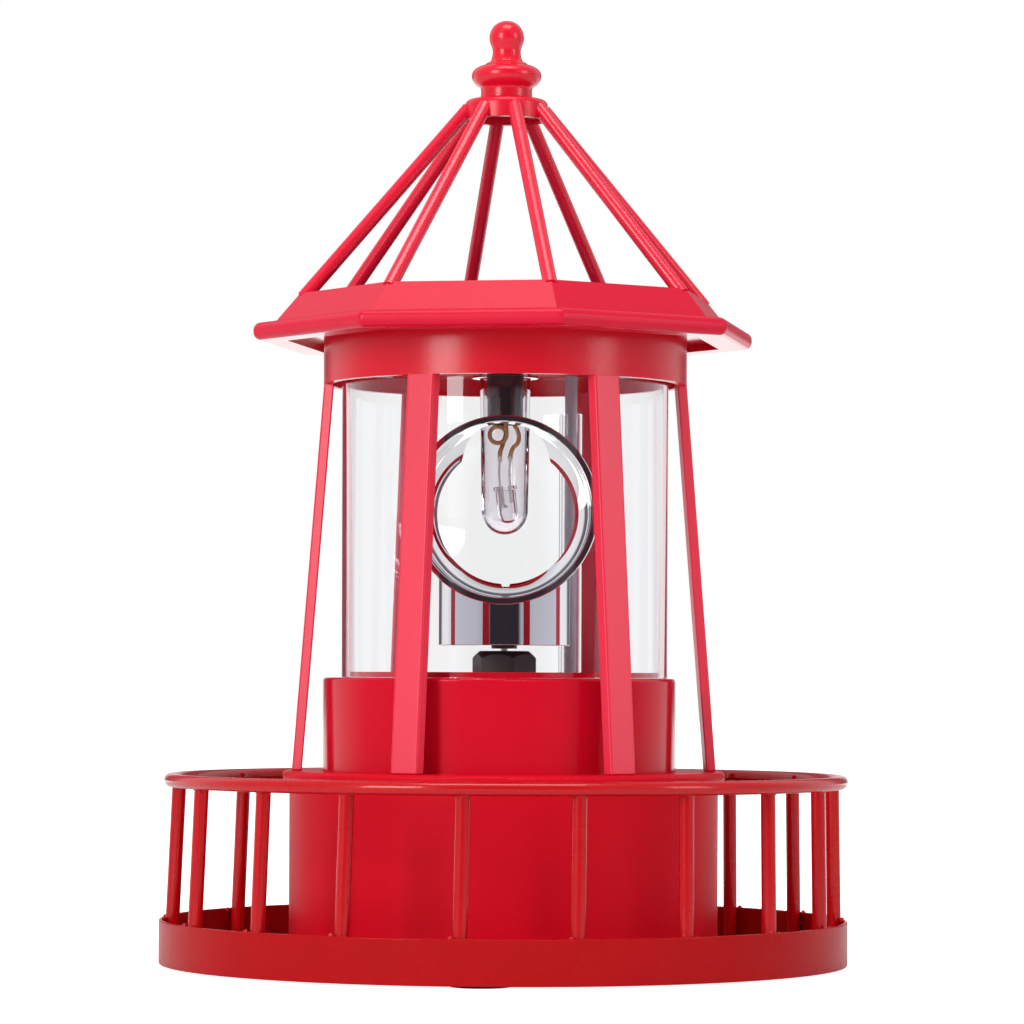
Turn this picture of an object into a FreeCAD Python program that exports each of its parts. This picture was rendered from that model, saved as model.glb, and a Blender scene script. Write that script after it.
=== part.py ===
"""Solar garden lamp shaped like a lighthouse lantern, with a turning reflector.

Millimetres, +Z up. The origin is on the ground under the middle of the gallery, and the front is -Y.
Angles of posts, bars and corners are counted from the front, positive towards +X.
"""
import FreeCAD, Part
import math
import os

os.makedirs("parts", exist_ok=True)
Vec = FreeCAD.Vector
UP = Vec(0, 0, 1)

# ---------------------------------------------------------------- gallery
foot_radius = 7.0
foot_height = 3.0
foot_inset = 10.2
foot_count = 4
foot_first_angle = -4.0
floor_thickness = 1.0
floor_opening_radius = 40.0
hoop_radius = 85.2
hoop_wall = 0.9
hoop_bottom = 0.6
hoop_height = 10.9
hoop_edge_round = 0.3
weld_gap = 0.05
bar_radius = 1.75
bar_foot_inset = 0.05
bar_lean_in = 1.3
rail_outset = 1.75             # the bars end under the inner side of the rail
rail_shift = 0.6               # the rail sits a little to the right of the hoop
rail_wire_radius = 1.65
rail_height = 45.8
# The bars stand unevenly, as they were welded by hand.
bars_front = [-27.0, -7.0, 12.0, 31.0]
bars_right = [49.5, 67.6, 92.5, 115.4]
bars_back = [134.0, 154.0, 175.0, 196.0, 216.5]
bars_left = [236.5, 268.5, 296.0, 315.5]

# ---------------------------------------------------------------- lantern base
base_radius = 53.1
base_wall = 2.2
deck_thickness = 2.4
deck_lip = 1.7
deck_edge_round = 1.0
base_height = 44.2
deck_opening_radius = 26.0
cover_flange = 1.4
cover_inset = 2.5
cover_plug_gap = 0.4
cover_plug_height = 1.6
cover_screw_inset = 5.7
cover_screw_count = 4
cover_screw_length = 12.0
boss_radius = 4.3
boss_height = 14.0

# ---------------------------------------------------------------- screws
screw_radius = 1.25
screw_head_radius = 2.6
screw_head_height = 1.3
screw_clearance = 0.25
driver_radius = 1.04
driver_depth = 0.65

# ---------------------------------------------------------------- motor housing
housing_radius = 43.7
housing_wall = 1.8
housing_height = 23.0
housing_top = 2.0
housing_edge_round = 0.8
housing_shift = -1.2          # the drum sits a little to the left of the lantern's axis
plateau_radius = 38.3
plateau_height = 1.4
housing_screw_inset = 4.7
housing_screw_length = 10.0
housing_boss_radius = 3.2
housing_boss_height = 12.0

# ---------------------------------------------------------------- windows
post_count = 6
post_first_angle = -27.0
post_outer_width = 6.9
post_inner_width = 8.6
post_thickness = 2.45
post_foot_inset = 0.6
cap_ring_radius = 45.0
cap_ring_wall = 2.2
window_height = 95.5
glass_radius = 40.5
glass_wall = 1.2
glass_end_gap = 0.2

# ---------------------------------------------------------------- roof
eave_above_windows = 10.1
eave_corner_radius = 63.3
eave_first_corner = 12.0
eave_corners = 8
lip_height = 4.3
lip_round = 1.9
lip_step = 5.4
skirt_rise = 7.4
skirt_top_corner_radius = 51.6
skirt_wall = 3.2
soffit_recess = 1.6
soffit_thickness = 2.0
soffit_gap = 0.1
soffit_opening_radius = 24.0
rafter_radius = 1.75
rafter_foot_radius = 49.8
rafter_head_height = 45.7
hub_radius = 10.3
hub_height = 5.1
hub_wall = 2.0
hub_round = 1.6
hub_below_rafters = 1.8
finial_neck_radius = 6.4
finial_neck_height = 3.5
finial_disc_radius = 8.7
finial_disc_height = 4.7
finial_disc_round = 2.1
finial_step_radius = 5.2
finial_step_height = 1.1
finial_flare = 0.5
finial_flare_height = 2.9
finial_stem_radius = 3.5
finial_stem_height = 3.6
finial_ball_radius = 4.3
finial_screw_length = 9.0
tray_corner_radius = 46.0
tray_thickness = 2.2
tray_post_height = 2.8
tray_post_radius = 3.0
tray_post_ring = 34.0
panel_side = 58.0
panel_thickness = 2.6
panel_wire_offset = 1.8

# ---------------------------------------------------------------- lamp
lamp_deck_thickness = 2.0
lamp_deck_above_windows = 4.5
lamp_deck_gap = 0.3
lamp_deck_hole = 3.4
wires_above_deck = 1.2
roof_screw_ring = 36.0
roof_screw_count = 3
roof_post_radius = 3.0
socket_flange_radius = 7.0
socket_flange_height = 1.8
socket_radius = 4.4
socket_collar_radius = 4.6
socket_collar_height = 7.7
socket_bore = 3.2
socket_length = 14.2
sleeve_flange_radius = 8.2
sleeve_flange_height = 1.0
sleeve_top_radius = 6.3
sleeve_end_radius = 5.75
sleeve_wall = 0.7
sleeve_length = 39.7
led_radius = 2.5
led_flange_radius = 2.9
led_flange_height = 1.0
led_body_height = 5.7
led_drop = 15.3
led_lead_side = 0.5
led_lead_pitch = 2.54
led_lead_length = 7.6
lead_wire_radius = 0.55
loop_radius = 2.0
loop_drift = 2.4
loop_centre = -1.9
loop_points = 8
cable_radius = 1.6
cable_tube_radius = 3.0
cable_tube_bore = 2.3
cable_tube_length = 66.0
cable_tube_ring = 35.0
cable_tube_angle = 151.0
cable_hole_clearance = 0.3

# ---------------------------------------------------------------- reflector
reflector_above_cup = 33.1
reflector_depth = 33.0
reflector_rim_radius = 23.1
reflector_bead_radius = 0.95
reflector_bead_proud = 0.3
reflector_wall = 1.3
reflector_bulge = -0.9         # the bore flares towards the front
reflector_rear_radius = 17.4
reflector_yaw = -1.0
reflector_notch = 1.1
cup_radius = 16.25
cup_wall = 1.2
cup_above_nut = 1.3
cup_top_drop = 11.0
sleeve_turning_gap = 4.9
reflector_hub_radius = 3.2
reflector_hub_flange_radius = 5.0
reflector_hub_flange_height = 1.5
reflector_hub_drop = 0.7
reflector_hub_height = 7.0
reflector_hub_roof = 1.0

# ---------------------------------------------------------------- movement
movement_side = 56.0
movement_height = 19.0
movement_wall = 1.5
bushing_radius = 3.9
nut_across_flats = 14.0
nut_height = 5.3
nut_turn = 17.0
nut_corner_margin = 0.1
nut_chamfer_height = 1.9
nut_face_radius = 6.1
bushing_below_nut_top = 1.0
thread_fit = 0.05
shaft_radius = 0.85
running_clearance = 0.05
shaft_pivot_depth = 1.8
pivot_boss_radius = 2.4
pivot_boss_height = 2.4
gear_module = 0.4
pressure_angle = 20.0
pinion_teeth = 14
wheel_teeth = 42
gear_thickness = 1.6
gear_level_step = 2.4
tooth_backlash = 0.10
tooth_addendum = 0.85
tooth_dedendum = 1.2
first_gear_level = 10.0
gear_spacer_radius = 2.0
arbor_radius = 0.75
arbor_socket_depth = 0.8
second_gear_angle = 180.0     # from the shaft, the second gear lies at the back
first_gear_angle = 110.0      # from the second gear to the first
motor_angle = 40.0            # from the first gear to the motor
motor_radius = 7.5
motor_wall = 0.5
motor_cap_height = 1.3
motor_height = 7.9
magnet_thickness = 1.4
magnet_gap = 0.1
magnet_height = 4.4
magnet_split = 3.0
rotor_gap = 0.4
rotor_height = 4.0
rotor_slot_width = 1.0
rotor_core_radius = 2.2
rotor_above_cap = 1.0
commutator_height = 0.8
rotor_shaft_foot = 0.6
rotor_shaft_past_pinion = 0.3
motor_pivot_floor = 0.5
commutator_radius = 1.5
motor_bush_radius = 2.0
motor_shaft_radius = 0.75
motor_wire_offset = 4.0
wire_hole_clearance = 0.4

# ---------------------------------------------------------------- electrics
battery_radius = 7.1
battery_length = 49.2
battery_nub_radius = 2.6
battery_nub_length = 1.2
battery_row = -11.0
holder_wall = 1.3
holder_side_gap = 0.3
holder_depth = 11.0
spring_length = 3.6
spring_wire_radius = 0.35
spring_base_radius = 4.2
spring_tip_radius = 2.4
spring_turns = 2
spring_sunk = 0.18
contact_thickness = 0.4
contact_width = 9.0
contact_tab_rise = 3.0
board_length = 38.0
board_width = 22.0
board_thickness = 1.6
board_row = 18.0
board_post_radius = 2.0
board_post_height = 4.0
board_post_inset = 3.0
inductor_place = (-11.0, -3.0)
inductor_radius = 3.5
inductor_height = 5.0
capacitor_place = (-2.0, -6.0)
capacitor_radius = 2.5
capacitor_height = 7.0
chip_corner = (-3.0, 3.0)
chip_length = 5.0
chip_width = 4.0
chip_height = 1.5
switch_place = (-30.0, 8.0)
switch_length = 8.6
switch_width = 4.4
switch_height = 4.4
switch_stem_length = 2.0
switch_stem_width = 1.8
switch_travel = 2.0
switch_side_gap = 0.15
switch_ground_gap = 0.9
switch_stem_into_body = 2.4
wire_radius = 0.6
wire_touch = 0.05              # a wire stops just short of what it is soldered to

# ---------------------------------------------------------------- places worked out from the sizes
cover_radius = base_radius - cover_inset
cover_screw_ring = base_radius - cover_screw_inset
post_foot_radius = base_radius - post_foot_inset
housing_screw_ring = housing_radius - housing_screw_inset
foot_ring_radius = hoop_radius - foot_inset
bar_foot_radius = hoop_radius - hoop_wall - bar_radius - bar_foot_inset
bar_head_radius = bar_foot_radius - bar_lean_in
rail_radius = bar_head_radius + rail_outset
rail_centre = Vec(rail_shift, 0, 0)
sleeve_cut_radius = sleeve_top_radius + sleeve_turning_gap
floor_top = foot_height + floor_thickness
deck_top = floor_top + base_height
cover_bottom = foot_height - cover_flange
cover_plug_top = foot_height + cover_plug_height
housing_deck = deck_top + housing_height
plateau_top = housing_deck + plateau_height
windows_top = deck_top + window_height
eave_bottom = windows_top + eave_above_windows
soffit_bottom = eave_bottom + soffit_recess
soffit_top = soffit_bottom + soffit_thickness
skirt_foot = eave_bottom + lip_height
skirt_top = skirt_foot + skirt_rise
rafter_head = skirt_top + rafter_head_height
hub_bottom = rafter_head - hub_below_rafters
hub_top = hub_bottom + hub_height
tray_bottom = soffit_top + tray_post_height
tray_top = tray_bottom + tray_thickness
lamp_deck_bottom = windows_top + lamp_deck_above_windows
lamp_deck_top = lamp_deck_bottom + lamp_deck_thickness
glass_top = lamp_deck_bottom - glass_end_gap
socket_bottom = lamp_deck_bottom - socket_length
sleeve_top = lamp_deck_bottom - socket_flange_height
led_top = socket_bottom - led_drop
movement_top = housing_deck - housing_top
movement_bottom = movement_top - movement_height
movement_floor = movement_bottom + movement_wall
movement_ceiling = movement_top - movement_wall
nut_top = plateau_top + nut_height
cup_floor_height = nut_top + cup_above_nut
reflector_height = cup_floor_height + reflector_above_cup
gear_level = movement_bottom + first_gear_level
gear_distance = gear_module * (pinion_teeth + wheel_teeth) / 2


# ---------------------------------------------------------------- helpers
def around(angle, radius, z=0.0):
    """The point at an angle from the front, at a radius and a height."""
    a = math.radians(angle)
    return Vec(radius * math.sin(a), -radius * math.cos(a), z)


def disc(radius, bottom, top, centre=Vec(0, 0, 0)):
    return Part.makeCylinder(radius, top - bottom, Vec(centre.x, centre.y, bottom), UP)


def ring(outer, inner, bottom, top, centre=Vec(0, 0, 0)):
    return disc(outer, bottom, top, centre).cut(disc(inner, bottom, top, centre))


def box(low, high):
    return Part.makeBox(high[0] - low[0], high[1] - low[1], high[2] - low[2], Vec(*low))


def octagon(corner_radius, z):
    step = 360.0 / eave_corners
    corners = [around(eave_first_corner + step * k, corner_radius, z) for k in range(eave_corners)]
    return Part.makePolygon(corners + [corners[0]])


def octagon_prism(corner_radius, bottom, top):
    return Part.Face(octagon(corner_radius, bottom)).extrude(Vec(0, 0, top - bottom))


def octagon_frustum(lower_radius, upper_radius, bottom, top):
    return Part.makeLoft([octagon(lower_radius, bottom), octagon(upper_radius, top)], True, True)


def route(points):
    """Straight runs joined by tangent arcs, each as large as its two runs allow."""
    pts = [Vec(*p) for p in points]
    edges = []
    radii = []
    start = pts[0]
    for before, corner, after in zip(pts, pts[1:], pts[2:]):
        into = corner - before
        out = after - corner
        half_turn = into.getAngle(out) / 2
        reach = 0.45 * min(into.Length, out.Length)
        radius = reach / math.tan(half_turn)
        into.normalize()
        out.normalize()
        first = corner - into * reach
        last = corner + out * reach
        inward = out - into
        inward.normalize()
        middle = corner + inward * (radius / math.cos(half_turn) - radius)
        edges.append(Part.LineSegment(start, first).toShape())
        edges.append(Part.Arc(first, middle, last).toShape())
        radii.append(radius)
        start = last
    edges.append(Part.LineSegment(start, pts[-1]).toShape())
    return Part.Wire(edges), radii


def tube(points, radius, label):
    path, radii = route(points)
    direction = Vec(*points[1]) - Vec(*points[0])
    section = Part.Wire(Part.makeCircle(radius, Vec(*points[0]), direction))
    solid = path.makePipeShell([section], True, False)
    ratio = solid.Volume / (math.pi * radius ** 2 * path.Length)
    print(f"{label}: length {path.Length:.1f} mm, least bend {min(radii):.2f} mm, volume ratio {ratio:.4f}")
    return solid


def screw(place, head_bottom, length):
    """A pan-head screw standing head down, with its shank pointing up."""
    head = disc(screw_head_radius, head_bottom, head_bottom + screw_head_height, place)
    driver = disc(driver_radius, head_bottom, head_bottom + driver_depth, place)
    shank_bottom = head_bottom + screw_head_height
    shank = disc(screw_radius, shank_bottom, shank_bottom + length, place)
    return head.cut(driver).fuse(shank).removeSplitter()


def gear(teeth, bottom, centre, tooth_angle, bore):
    """A spur gear with involute flanks; tooth_angle is where one tooth points, from +X."""
    pitch = gear_module * teeth / 2
    base = pitch * math.cos(math.radians(pressure_angle))
    tip = pitch + tooth_addendum * gear_module
    root = pitch - tooth_dedendum * gear_module
    involute = math.tan(math.radians(pressure_angle)) - math.radians(pressure_angle)
    half_tooth = (math.pi * gear_module / 2 - tooth_backlash / 2) / 2 / pitch
    flank_start = max(base, root)
    flank = []
    for step in range(5):
        r = flank_start + (tip - flank_start) * step / 4
        roll = math.sqrt(max((r / base) ** 2 - 1, 0))
        flank.append((r, half_tooth + involute - (roll - math.atan(roll))))
    outline = []
    for k in range(teeth):
        middle = math.radians(tooth_angle) + 2 * math.pi * k / teeth
        outline.append((root, middle - flank[0][1]))
        outline += [(r, middle - a) for r, a in flank]
        outline += [(r, middle + a) for r, a in reversed(flank)]
        outline.append((root, middle + flank[0][1]))
    corners = [Vec(centre.x + r * math.cos(a), centre.y + r * math.sin(a), bottom) for r, a in outline]
    kept = [corners[0]]
    for corner in corners[1:]:
        if corner.distanceToPoint(kept[-1]) > 0.001:
            kept.append(corner)
    blank = Part.Face(Part.makePolygon(kept + [kept[0]])).extrude(Vec(0, 0, gear_thickness))
    return blank.cut(disc(bore, bottom, bottom + gear_thickness, centre))


def save(name, *solids):
    shape = solids[0] if len(solids) == 1 else Part.makeCompound(list(solids))
    for solid in shape.Solids:
        if not solid.isValid():
            print(f"{name}: a solid is not valid")
    shape.exportStep(f"parts/{name}.step")


# ---------------------------------------------------------------- gallery pieces
def feet():
    places = [around(foot_first_angle + 360.0 / foot_count * k, foot_ring_radius) for k in range(foot_count)]
    return [disc(foot_radius, 0, foot_height, place) for place in places]


def floor_plate():
    plate = ring(hoop_radius - hoop_wall - weld_gap, floor_opening_radius, foot_height, floor_top)
    for place in cover_screw_places():
        plate = plate.cut(disc(screw_radius + screw_clearance, foot_height, floor_top, place))
    return plate


def fascia_hoop():
    hoop = ring(hoop_radius, hoop_radius - hoop_wall, hoop_bottom, hoop_bottom + hoop_height)
    rims = [edge for edge in hoop.Edges if edge.Length > hoop_radius]
    return hoop.makeFillet(hoop_edge_round, rims)


def bar(angle):
    """A round bar that stands inside the hoop and leans in to the rail."""
    foot = around(angle, bar_foot_radius, floor_top)
    head = around(angle, bar_head_radius, rail_height) + rail_centre
    along = head - foot
    along.normalize()
    rod = Part.makeCylinder(bar_radius, (head - foot).Length + bar_radius, foot - along * bar_radius, along)
    return rod.common(disc(hoop_radius, floor_top, rail_height - rail_wire_radius - weld_gap))


def hand_rail():
    return Part.makeTorus(rail_radius, rail_wire_radius, rail_centre + Vec(0, 0, rail_height), UP)


# ---------------------------------------------------------------- lantern base pieces
def cover_screw_places():
    step = 360.0 / cover_screw_count
    return [around(step / 2 + step * k, cover_screw_ring) for k in range(cover_screw_count)]


def housing_screw_places():
    shift = Vec(housing_shift, 0, 0)
    return [around(90.0 * k, housing_screw_ring) + shift for k in range(4)]


def cable_place():
    return around(cable_tube_angle, cable_tube_ring)


def lantern_base():
    deck_bottom = deck_top - deck_thickness
    wall = ring(base_radius, base_radius - base_wall, floor_top, deck_bottom)
    deck = disc(base_radius + deck_lip, deck_bottom, deck_top)
    rims = [edge for edge in deck.Edges if edge.Curve.TypeId == "Part::GeomCircle"]
    deck = deck.makeFillet(deck_edge_round, rims)
    solid = wall.fuse(deck)
    inside = disc(base_radius - base_wall / 2, floor_top, floor_top + boss_height)
    for place in cover_screw_places():
        solid = solid.fuse(disc(boss_radius, floor_top, floor_top + boss_height, place).common(inside))
    for place in cover_screw_places():
        solid = solid.cut(disc(screw_radius, floor_top, floor_top + cover_screw_length, place))
    solid = solid.cut(disc(deck_opening_radius, deck_bottom, deck_top))
    solid = solid.cut(disc(cable_radius + cable_hole_clearance, deck_bottom, deck_top, cable_place()))
    for place in housing_screw_places():
        solid = solid.cut(disc(screw_radius + screw_clearance, deck_bottom, deck_top, place))
    return solid.removeSplitter()


def board_post_places():
    x = board_length / 2 - board_post_inset
    y = board_width / 2 - board_post_inset
    return [Vec(sx * x, board_row + sy * y, 0) for sx in (-1, 1) for sy in (-1, 1)]


def bottom_cover():
    solid = disc(cover_radius, cover_bottom, foot_height)
    solid = solid.fuse(disc(floor_opening_radius - cover_plug_gap, foot_height, cover_plug_top))
    for place in board_post_places():
        solid = solid.fuse(disc(board_post_radius, cover_plug_top, cover_plug_top + board_post_height, place))
    for place in cover_screw_places():
        solid = solid.cut(disc(screw_radius + screw_clearance, cover_bottom, foot_height, place))
    return solid.cut(switch_slot(cover_bottom, cover_plug_top)).removeSplitter()


def motor_housing():
    centre = Vec(housing_shift, 0, 0)
    drum = disc(housing_radius, deck_top, housing_deck, centre)
    rims = [edge for edge in drum.Edges if edge.Closed and edge.BoundBox.ZMin > housing_deck - 0.1]
    drum = drum.makeFillet(housing_edge_round, rims)
    drum = drum.cut(disc(housing_radius - housing_wall, deck_top, movement_top, centre))
    drum = drum.fuse(disc(plateau_radius, movement_top, plateau_top))
    inside = disc(housing_radius - housing_wall / 2, deck_top, movement_top, centre)
    for place in housing_screw_places():
        boss = disc(housing_boss_radius, deck_top, deck_top + housing_boss_height, place)
        drum = drum.fuse(boss.common(inside))
    for place in housing_screw_places():
        drum = drum.cut(disc(screw_radius, deck_top, deck_top + housing_screw_length, place))
    drum = drum.cut(disc(bushing_radius + thread_fit, movement_top, plateau_top))
    drum = drum.cut(disc(cable_radius + cable_hole_clearance, movement_top, plateau_top, cable_place()))
    return drum.removeSplitter()


# ---------------------------------------------------------------- windows
def window_post(angle):
    """A leaning post with a trapezoid section, wider on its inner side."""
    sections = []
    for z, outer in ((deck_top, post_foot_radius), (windows_top, cap_ring_radius)):
        out = around(angle, 1)
        side = Vec(-out.y, out.x, 0)
        corners = []
        for radius, half in ((outer, post_outer_width / 2), (outer - post_thickness, post_inner_width / 2)):
            corners.append(out * radius + side * half + Vec(0, 0, z))
            corners.append(out * radius - side * half + Vec(0, 0, z))
        order = [corners[0], corners[1], corners[3], corners[2], corners[0]]
        sections.append(Part.makePolygon(order))
    return Part.makeLoft(sections, True, True)


def cap_ring():
    return ring(cap_ring_radius, cap_ring_radius - cap_ring_wall, windows_top, soffit_bottom)


def lantern_glass():
    return ring(glass_radius, glass_radius - glass_wall, housing_deck, glass_top)


# ---------------------------------------------------------------- roof
def roof_skirt():
    lip = octagon_prism(eave_corner_radius, eave_bottom, skirt_foot)
    lip = lip.makeFillet(lip_round, lip.Edges)
    slope = octagon_frustum(eave_corner_radius - lip_step, skirt_top_corner_radius, skirt_foot, skirt_top)
    solid = lip.fuse(slope)
    inner_foot = eave_corner_radius - lip_step - skirt_wall
    inner_top = skirt_top_corner_radius - skirt_wall
    solid = solid.cut(octagon_prism(inner_foot, eave_bottom - 1, skirt_foot))
    return solid.cut(octagon_frustum(inner_foot, inner_top, skirt_foot, skirt_top)).removeSplitter()


def roof_screw_places():
    step = 360.0 / roof_screw_count
    return [around(step * k, roof_screw_ring) for k in range(roof_screw_count)]


def roof_soffit():
    corner = eave_corner_radius - lip_step - skirt_wall - soffit_gap
    plate = octagon_prism(corner, soffit_bottom, soffit_top)
    plate = plate.cut(disc(soffit_opening_radius, soffit_bottom, soffit_top))
    for place in roof_screw_places():
        plate = plate.cut(disc(screw_radius, soffit_bottom, soffit_top, place))
    return plate


def rafter(angle):
    """A round rafter from a corner of the skirt up to the side of the hub."""
    foot = around(angle, rafter_foot_radius, skirt_top)
    head = around(angle, hub_radius, rafter_head)
    along = head - foot
    along.normalize()
    start = foot - along * (2 * rafter_radius)
    rod = Part.makeCylinder(rafter_radius, (head - start).Length + 2 * rafter_radius, start, along)
    rod = rod.common(disc(eave_corner_radius, skirt_top, hub_top))
    return rod.cut(disc(hub_radius, skirt_top, hub_top))


def roof_hub():
    hub = disc(hub_radius, hub_bottom, hub_top)
    rims = [edge for edge in hub.Edges if edge.BoundBox.ZMin > hub_top - 0.1]
    hub = hub.makeFillet(hub_round, rims)
    hub = hub.cut(disc(hub_radius - hub_wall, hub_bottom, hub_top - hub_wall))
    return hub.cut(disc(screw_radius + screw_clearance, hub_bottom, hub_top))


def finial():
    neck_top = hub_top + finial_neck_height
    disc_top = neck_top + finial_disc_height
    step_top = disc_top + finial_step_height
    stem_top = step_top + finial_stem_height
    ball_centre = stem_top + math.sqrt(finial_ball_radius ** 2 - finial_stem_radius ** 2)
    neck = disc(finial_neck_radius, hub_top, neck_top)
    plate = disc(finial_disc_radius, neck_top, disc_top)
    rims = [edge for edge in plate.Edges if edge.Curve.TypeId == "Part::GeomCircle"]
    plate = plate.makeFillet(finial_disc_round, rims)
    step = disc(finial_step_radius, disc_top, step_top)
    flare = Part.makeCone(finial_stem_radius + finial_flare, finial_stem_radius, finial_flare_height,
                          Vec(0, 0, step_top), UP)
    stem = disc(finial_stem_radius, step_top, ball_centre)
    ball = Part.makeSphere(finial_ball_radius, Vec(0, 0, ball_centre))
    solid = neck.fuse(plate).fuse(step).fuse(flare).fuse(stem).fuse(ball)
    bore = disc(screw_radius, hub_top, hub_top + finial_screw_length)
    return solid.cut(bore).removeSplitter()


def finial_screw():
    head_bottom = hub_top - hub_wall - screw_head_height
    return screw(Vec(0, 0, 0), head_bottom, hub_wall + finial_screw_length)


def tray_post_places():
    return [around(45 + 90 * k, tray_post_ring) for k in range(4)]


def panel_tray():
    tray = octagon_prism(tray_corner_radius, tray_bottom, tray_top)
    for place in tray_post_places():
        tray = tray.fuse(disc(tray_post_radius, soffit_top, tray_bottom, place))
    for x in (-panel_wire_offset, panel_wire_offset):
        tray = tray.cut(disc(wire_radius + wire_hole_clearance, tray_bottom, tray_top, Vec(x, 0, 0)))
    return tray.removeSplitter()


def solar_panel():
    half = panel_side / 2
    return box((-half, -half, tray_top), (half, half, tray_top + panel_thickness))


# ---------------------------------------------------------------- lamp
def lamp_deck():
    deck = disc(cap_ring_radius - cap_ring_wall - lamp_deck_gap, lamp_deck_bottom, lamp_deck_top)
    for place in roof_screw_places():
        deck = deck.fuse(disc(roof_post_radius, lamp_deck_top, soffit_bottom, place))
    for place in roof_screw_places():
        deck = deck.cut(disc(screw_radius + screw_clearance, lamp_deck_bottom, soffit_bottom, place))
    deck = deck.cut(disc(lamp_deck_hole, lamp_deck_bottom, lamp_deck_top))
    return deck.cut(disc(cable_radius + cable_hole_clearance, lamp_deck_bottom, lamp_deck_top, cable_place()))


def lamp_socket():
    flange = disc(socket_flange_radius, lamp_deck_bottom - socket_flange_height, lamp_deck_bottom)
    collar = disc(socket_collar_radius, lamp_deck_bottom - socket_collar_height, lamp_deck_bottom)
    stem = disc(socket_radius, socket_bottom, lamp_deck_bottom)
    solid = flange.fuse(collar).fuse(stem)
    return solid.cut(disc(socket_bore, socket_bottom, lamp_deck_bottom)).removeSplitter()


def lamp_sleeve():
    """A test tube: flange, slightly tapered wall and a round closed end."""
    end_centre = sleeve_top - sleeve_length + sleeve_end_radius

    def body(grow):
        cone_height = sleeve_top - end_centre
        cone = Part.makeCone(sleeve_end_radius - grow, sleeve_top_radius - grow, cone_height,
                             Vec(0, 0, end_centre), UP)
        return cone.fuse(Part.makeSphere(sleeve_end_radius - grow, Vec(0, 0, end_centre)))

    flange = disc(sleeve_flange_radius, sleeve_top - sleeve_flange_height, sleeve_top)
    return body(0).fuse(flange).cut(body(sleeve_wall)).removeSplitter()


def led():
    flange = disc(led_flange_radius, led_top - led_flange_height, led_top)
    body_bottom = led_top - led_flange_height - led_body_height
    body = disc(led_radius, body_bottom, led_top)
    dome = Part.makeSphere(led_radius, Vec(0, 0, body_bottom))
    return flange.fuse(body).fuse(dome).removeSplitter()


def led_lead(side):
    x = side * led_lead_pitch / 2
    half = led_lead_side / 2
    return box((x - half, -half, led_top), (x + half, half, led_top + led_lead_length))


def lamp_wires():
    """Two insulated wires: one loops once on its way to the diode, one swings out to the right."""
    cable_end = cable_place()
    over_deck = lamp_deck_top + wires_above_deck
    lead_top = led_top + led_lead_length + wire_touch
    loop_height = (socket_bottom + lead_top) / 2 + 0.9
    half_drift = loop_drift / 2
    left = [(cable_end.x - 0.8, cable_end.y - 2.2, over_deck), (7, 12, over_deck + 0.2),
            (-1.0, 2.2, over_deck), (-0.4, -0.8, lamp_deck_bottom - 2), (0.0, -half_drift, socket_bottom + 1)]
    for k in range(loop_points + 1):
        a = math.radians(20 - 360.0 / loop_points * k)
        drift = -half_drift + loop_drift * k / loop_points
        left.append((loop_centre + loop_radius * math.cos(a), drift, loop_height + loop_radius * math.sin(a)))
    left += [(-0.3, half_drift, loop_height - 1.0), (-0.8, half_drift - 0.1, loop_height - 2.6),
             (-led_lead_pitch / 2, 0.0, lead_top + 1.0), (-led_lead_pitch / 2, 0.0, lead_top)]
    right = [(cable_end.x + 0.8, cable_end.y - 2.4, over_deck), (9, 11, over_deck + 0.3),
             (1.7, 2.2, over_deck), (1.4, 0.4, lamp_deck_bottom - 2), (1.3, 0.6, socket_bottom + 2),
             (2.4, 0.8, socket_bottom - 1.2), (3.7, 0.8, loop_height), (2.9, 0.5, lead_top + 1.9),
             (led_lead_pitch / 2, 0.0, lead_top)]
    solids = [tube(left, lead_wire_radius, "looped lamp wire"),
              tube(right, lead_wire_radius, "right lamp wire")]
    spots = [Vec(*p) for p in left[5:-2]]
    gaps = [(p - q).Length for i, p in enumerate(spots) for q in spots[i + 4:]]
    print(f"lamp wire loop: least gap to itself {min(gaps) - 2 * lead_wire_radius:.2f} mm")
    return solids


def cable_tube():
    top = plateau_top + cable_tube_length
    return ring(cable_tube_radius, cable_tube_bore, plateau_top, top, cable_place())


def riser_cable():
    """The grey cable from the circuit board up to the lamp deck."""
    foot = cable_place()
    start = board_top() + wire_touch
    points = [(8.0, 22.0, start), (8.0, 23.0, start + 14), (foot.x, foot.y, start + 24),
              (foot.x, foot.y + 0.01, lamp_deck_top + 1.0)]
    return tube(points, cable_radius, "riser cable")


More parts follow.
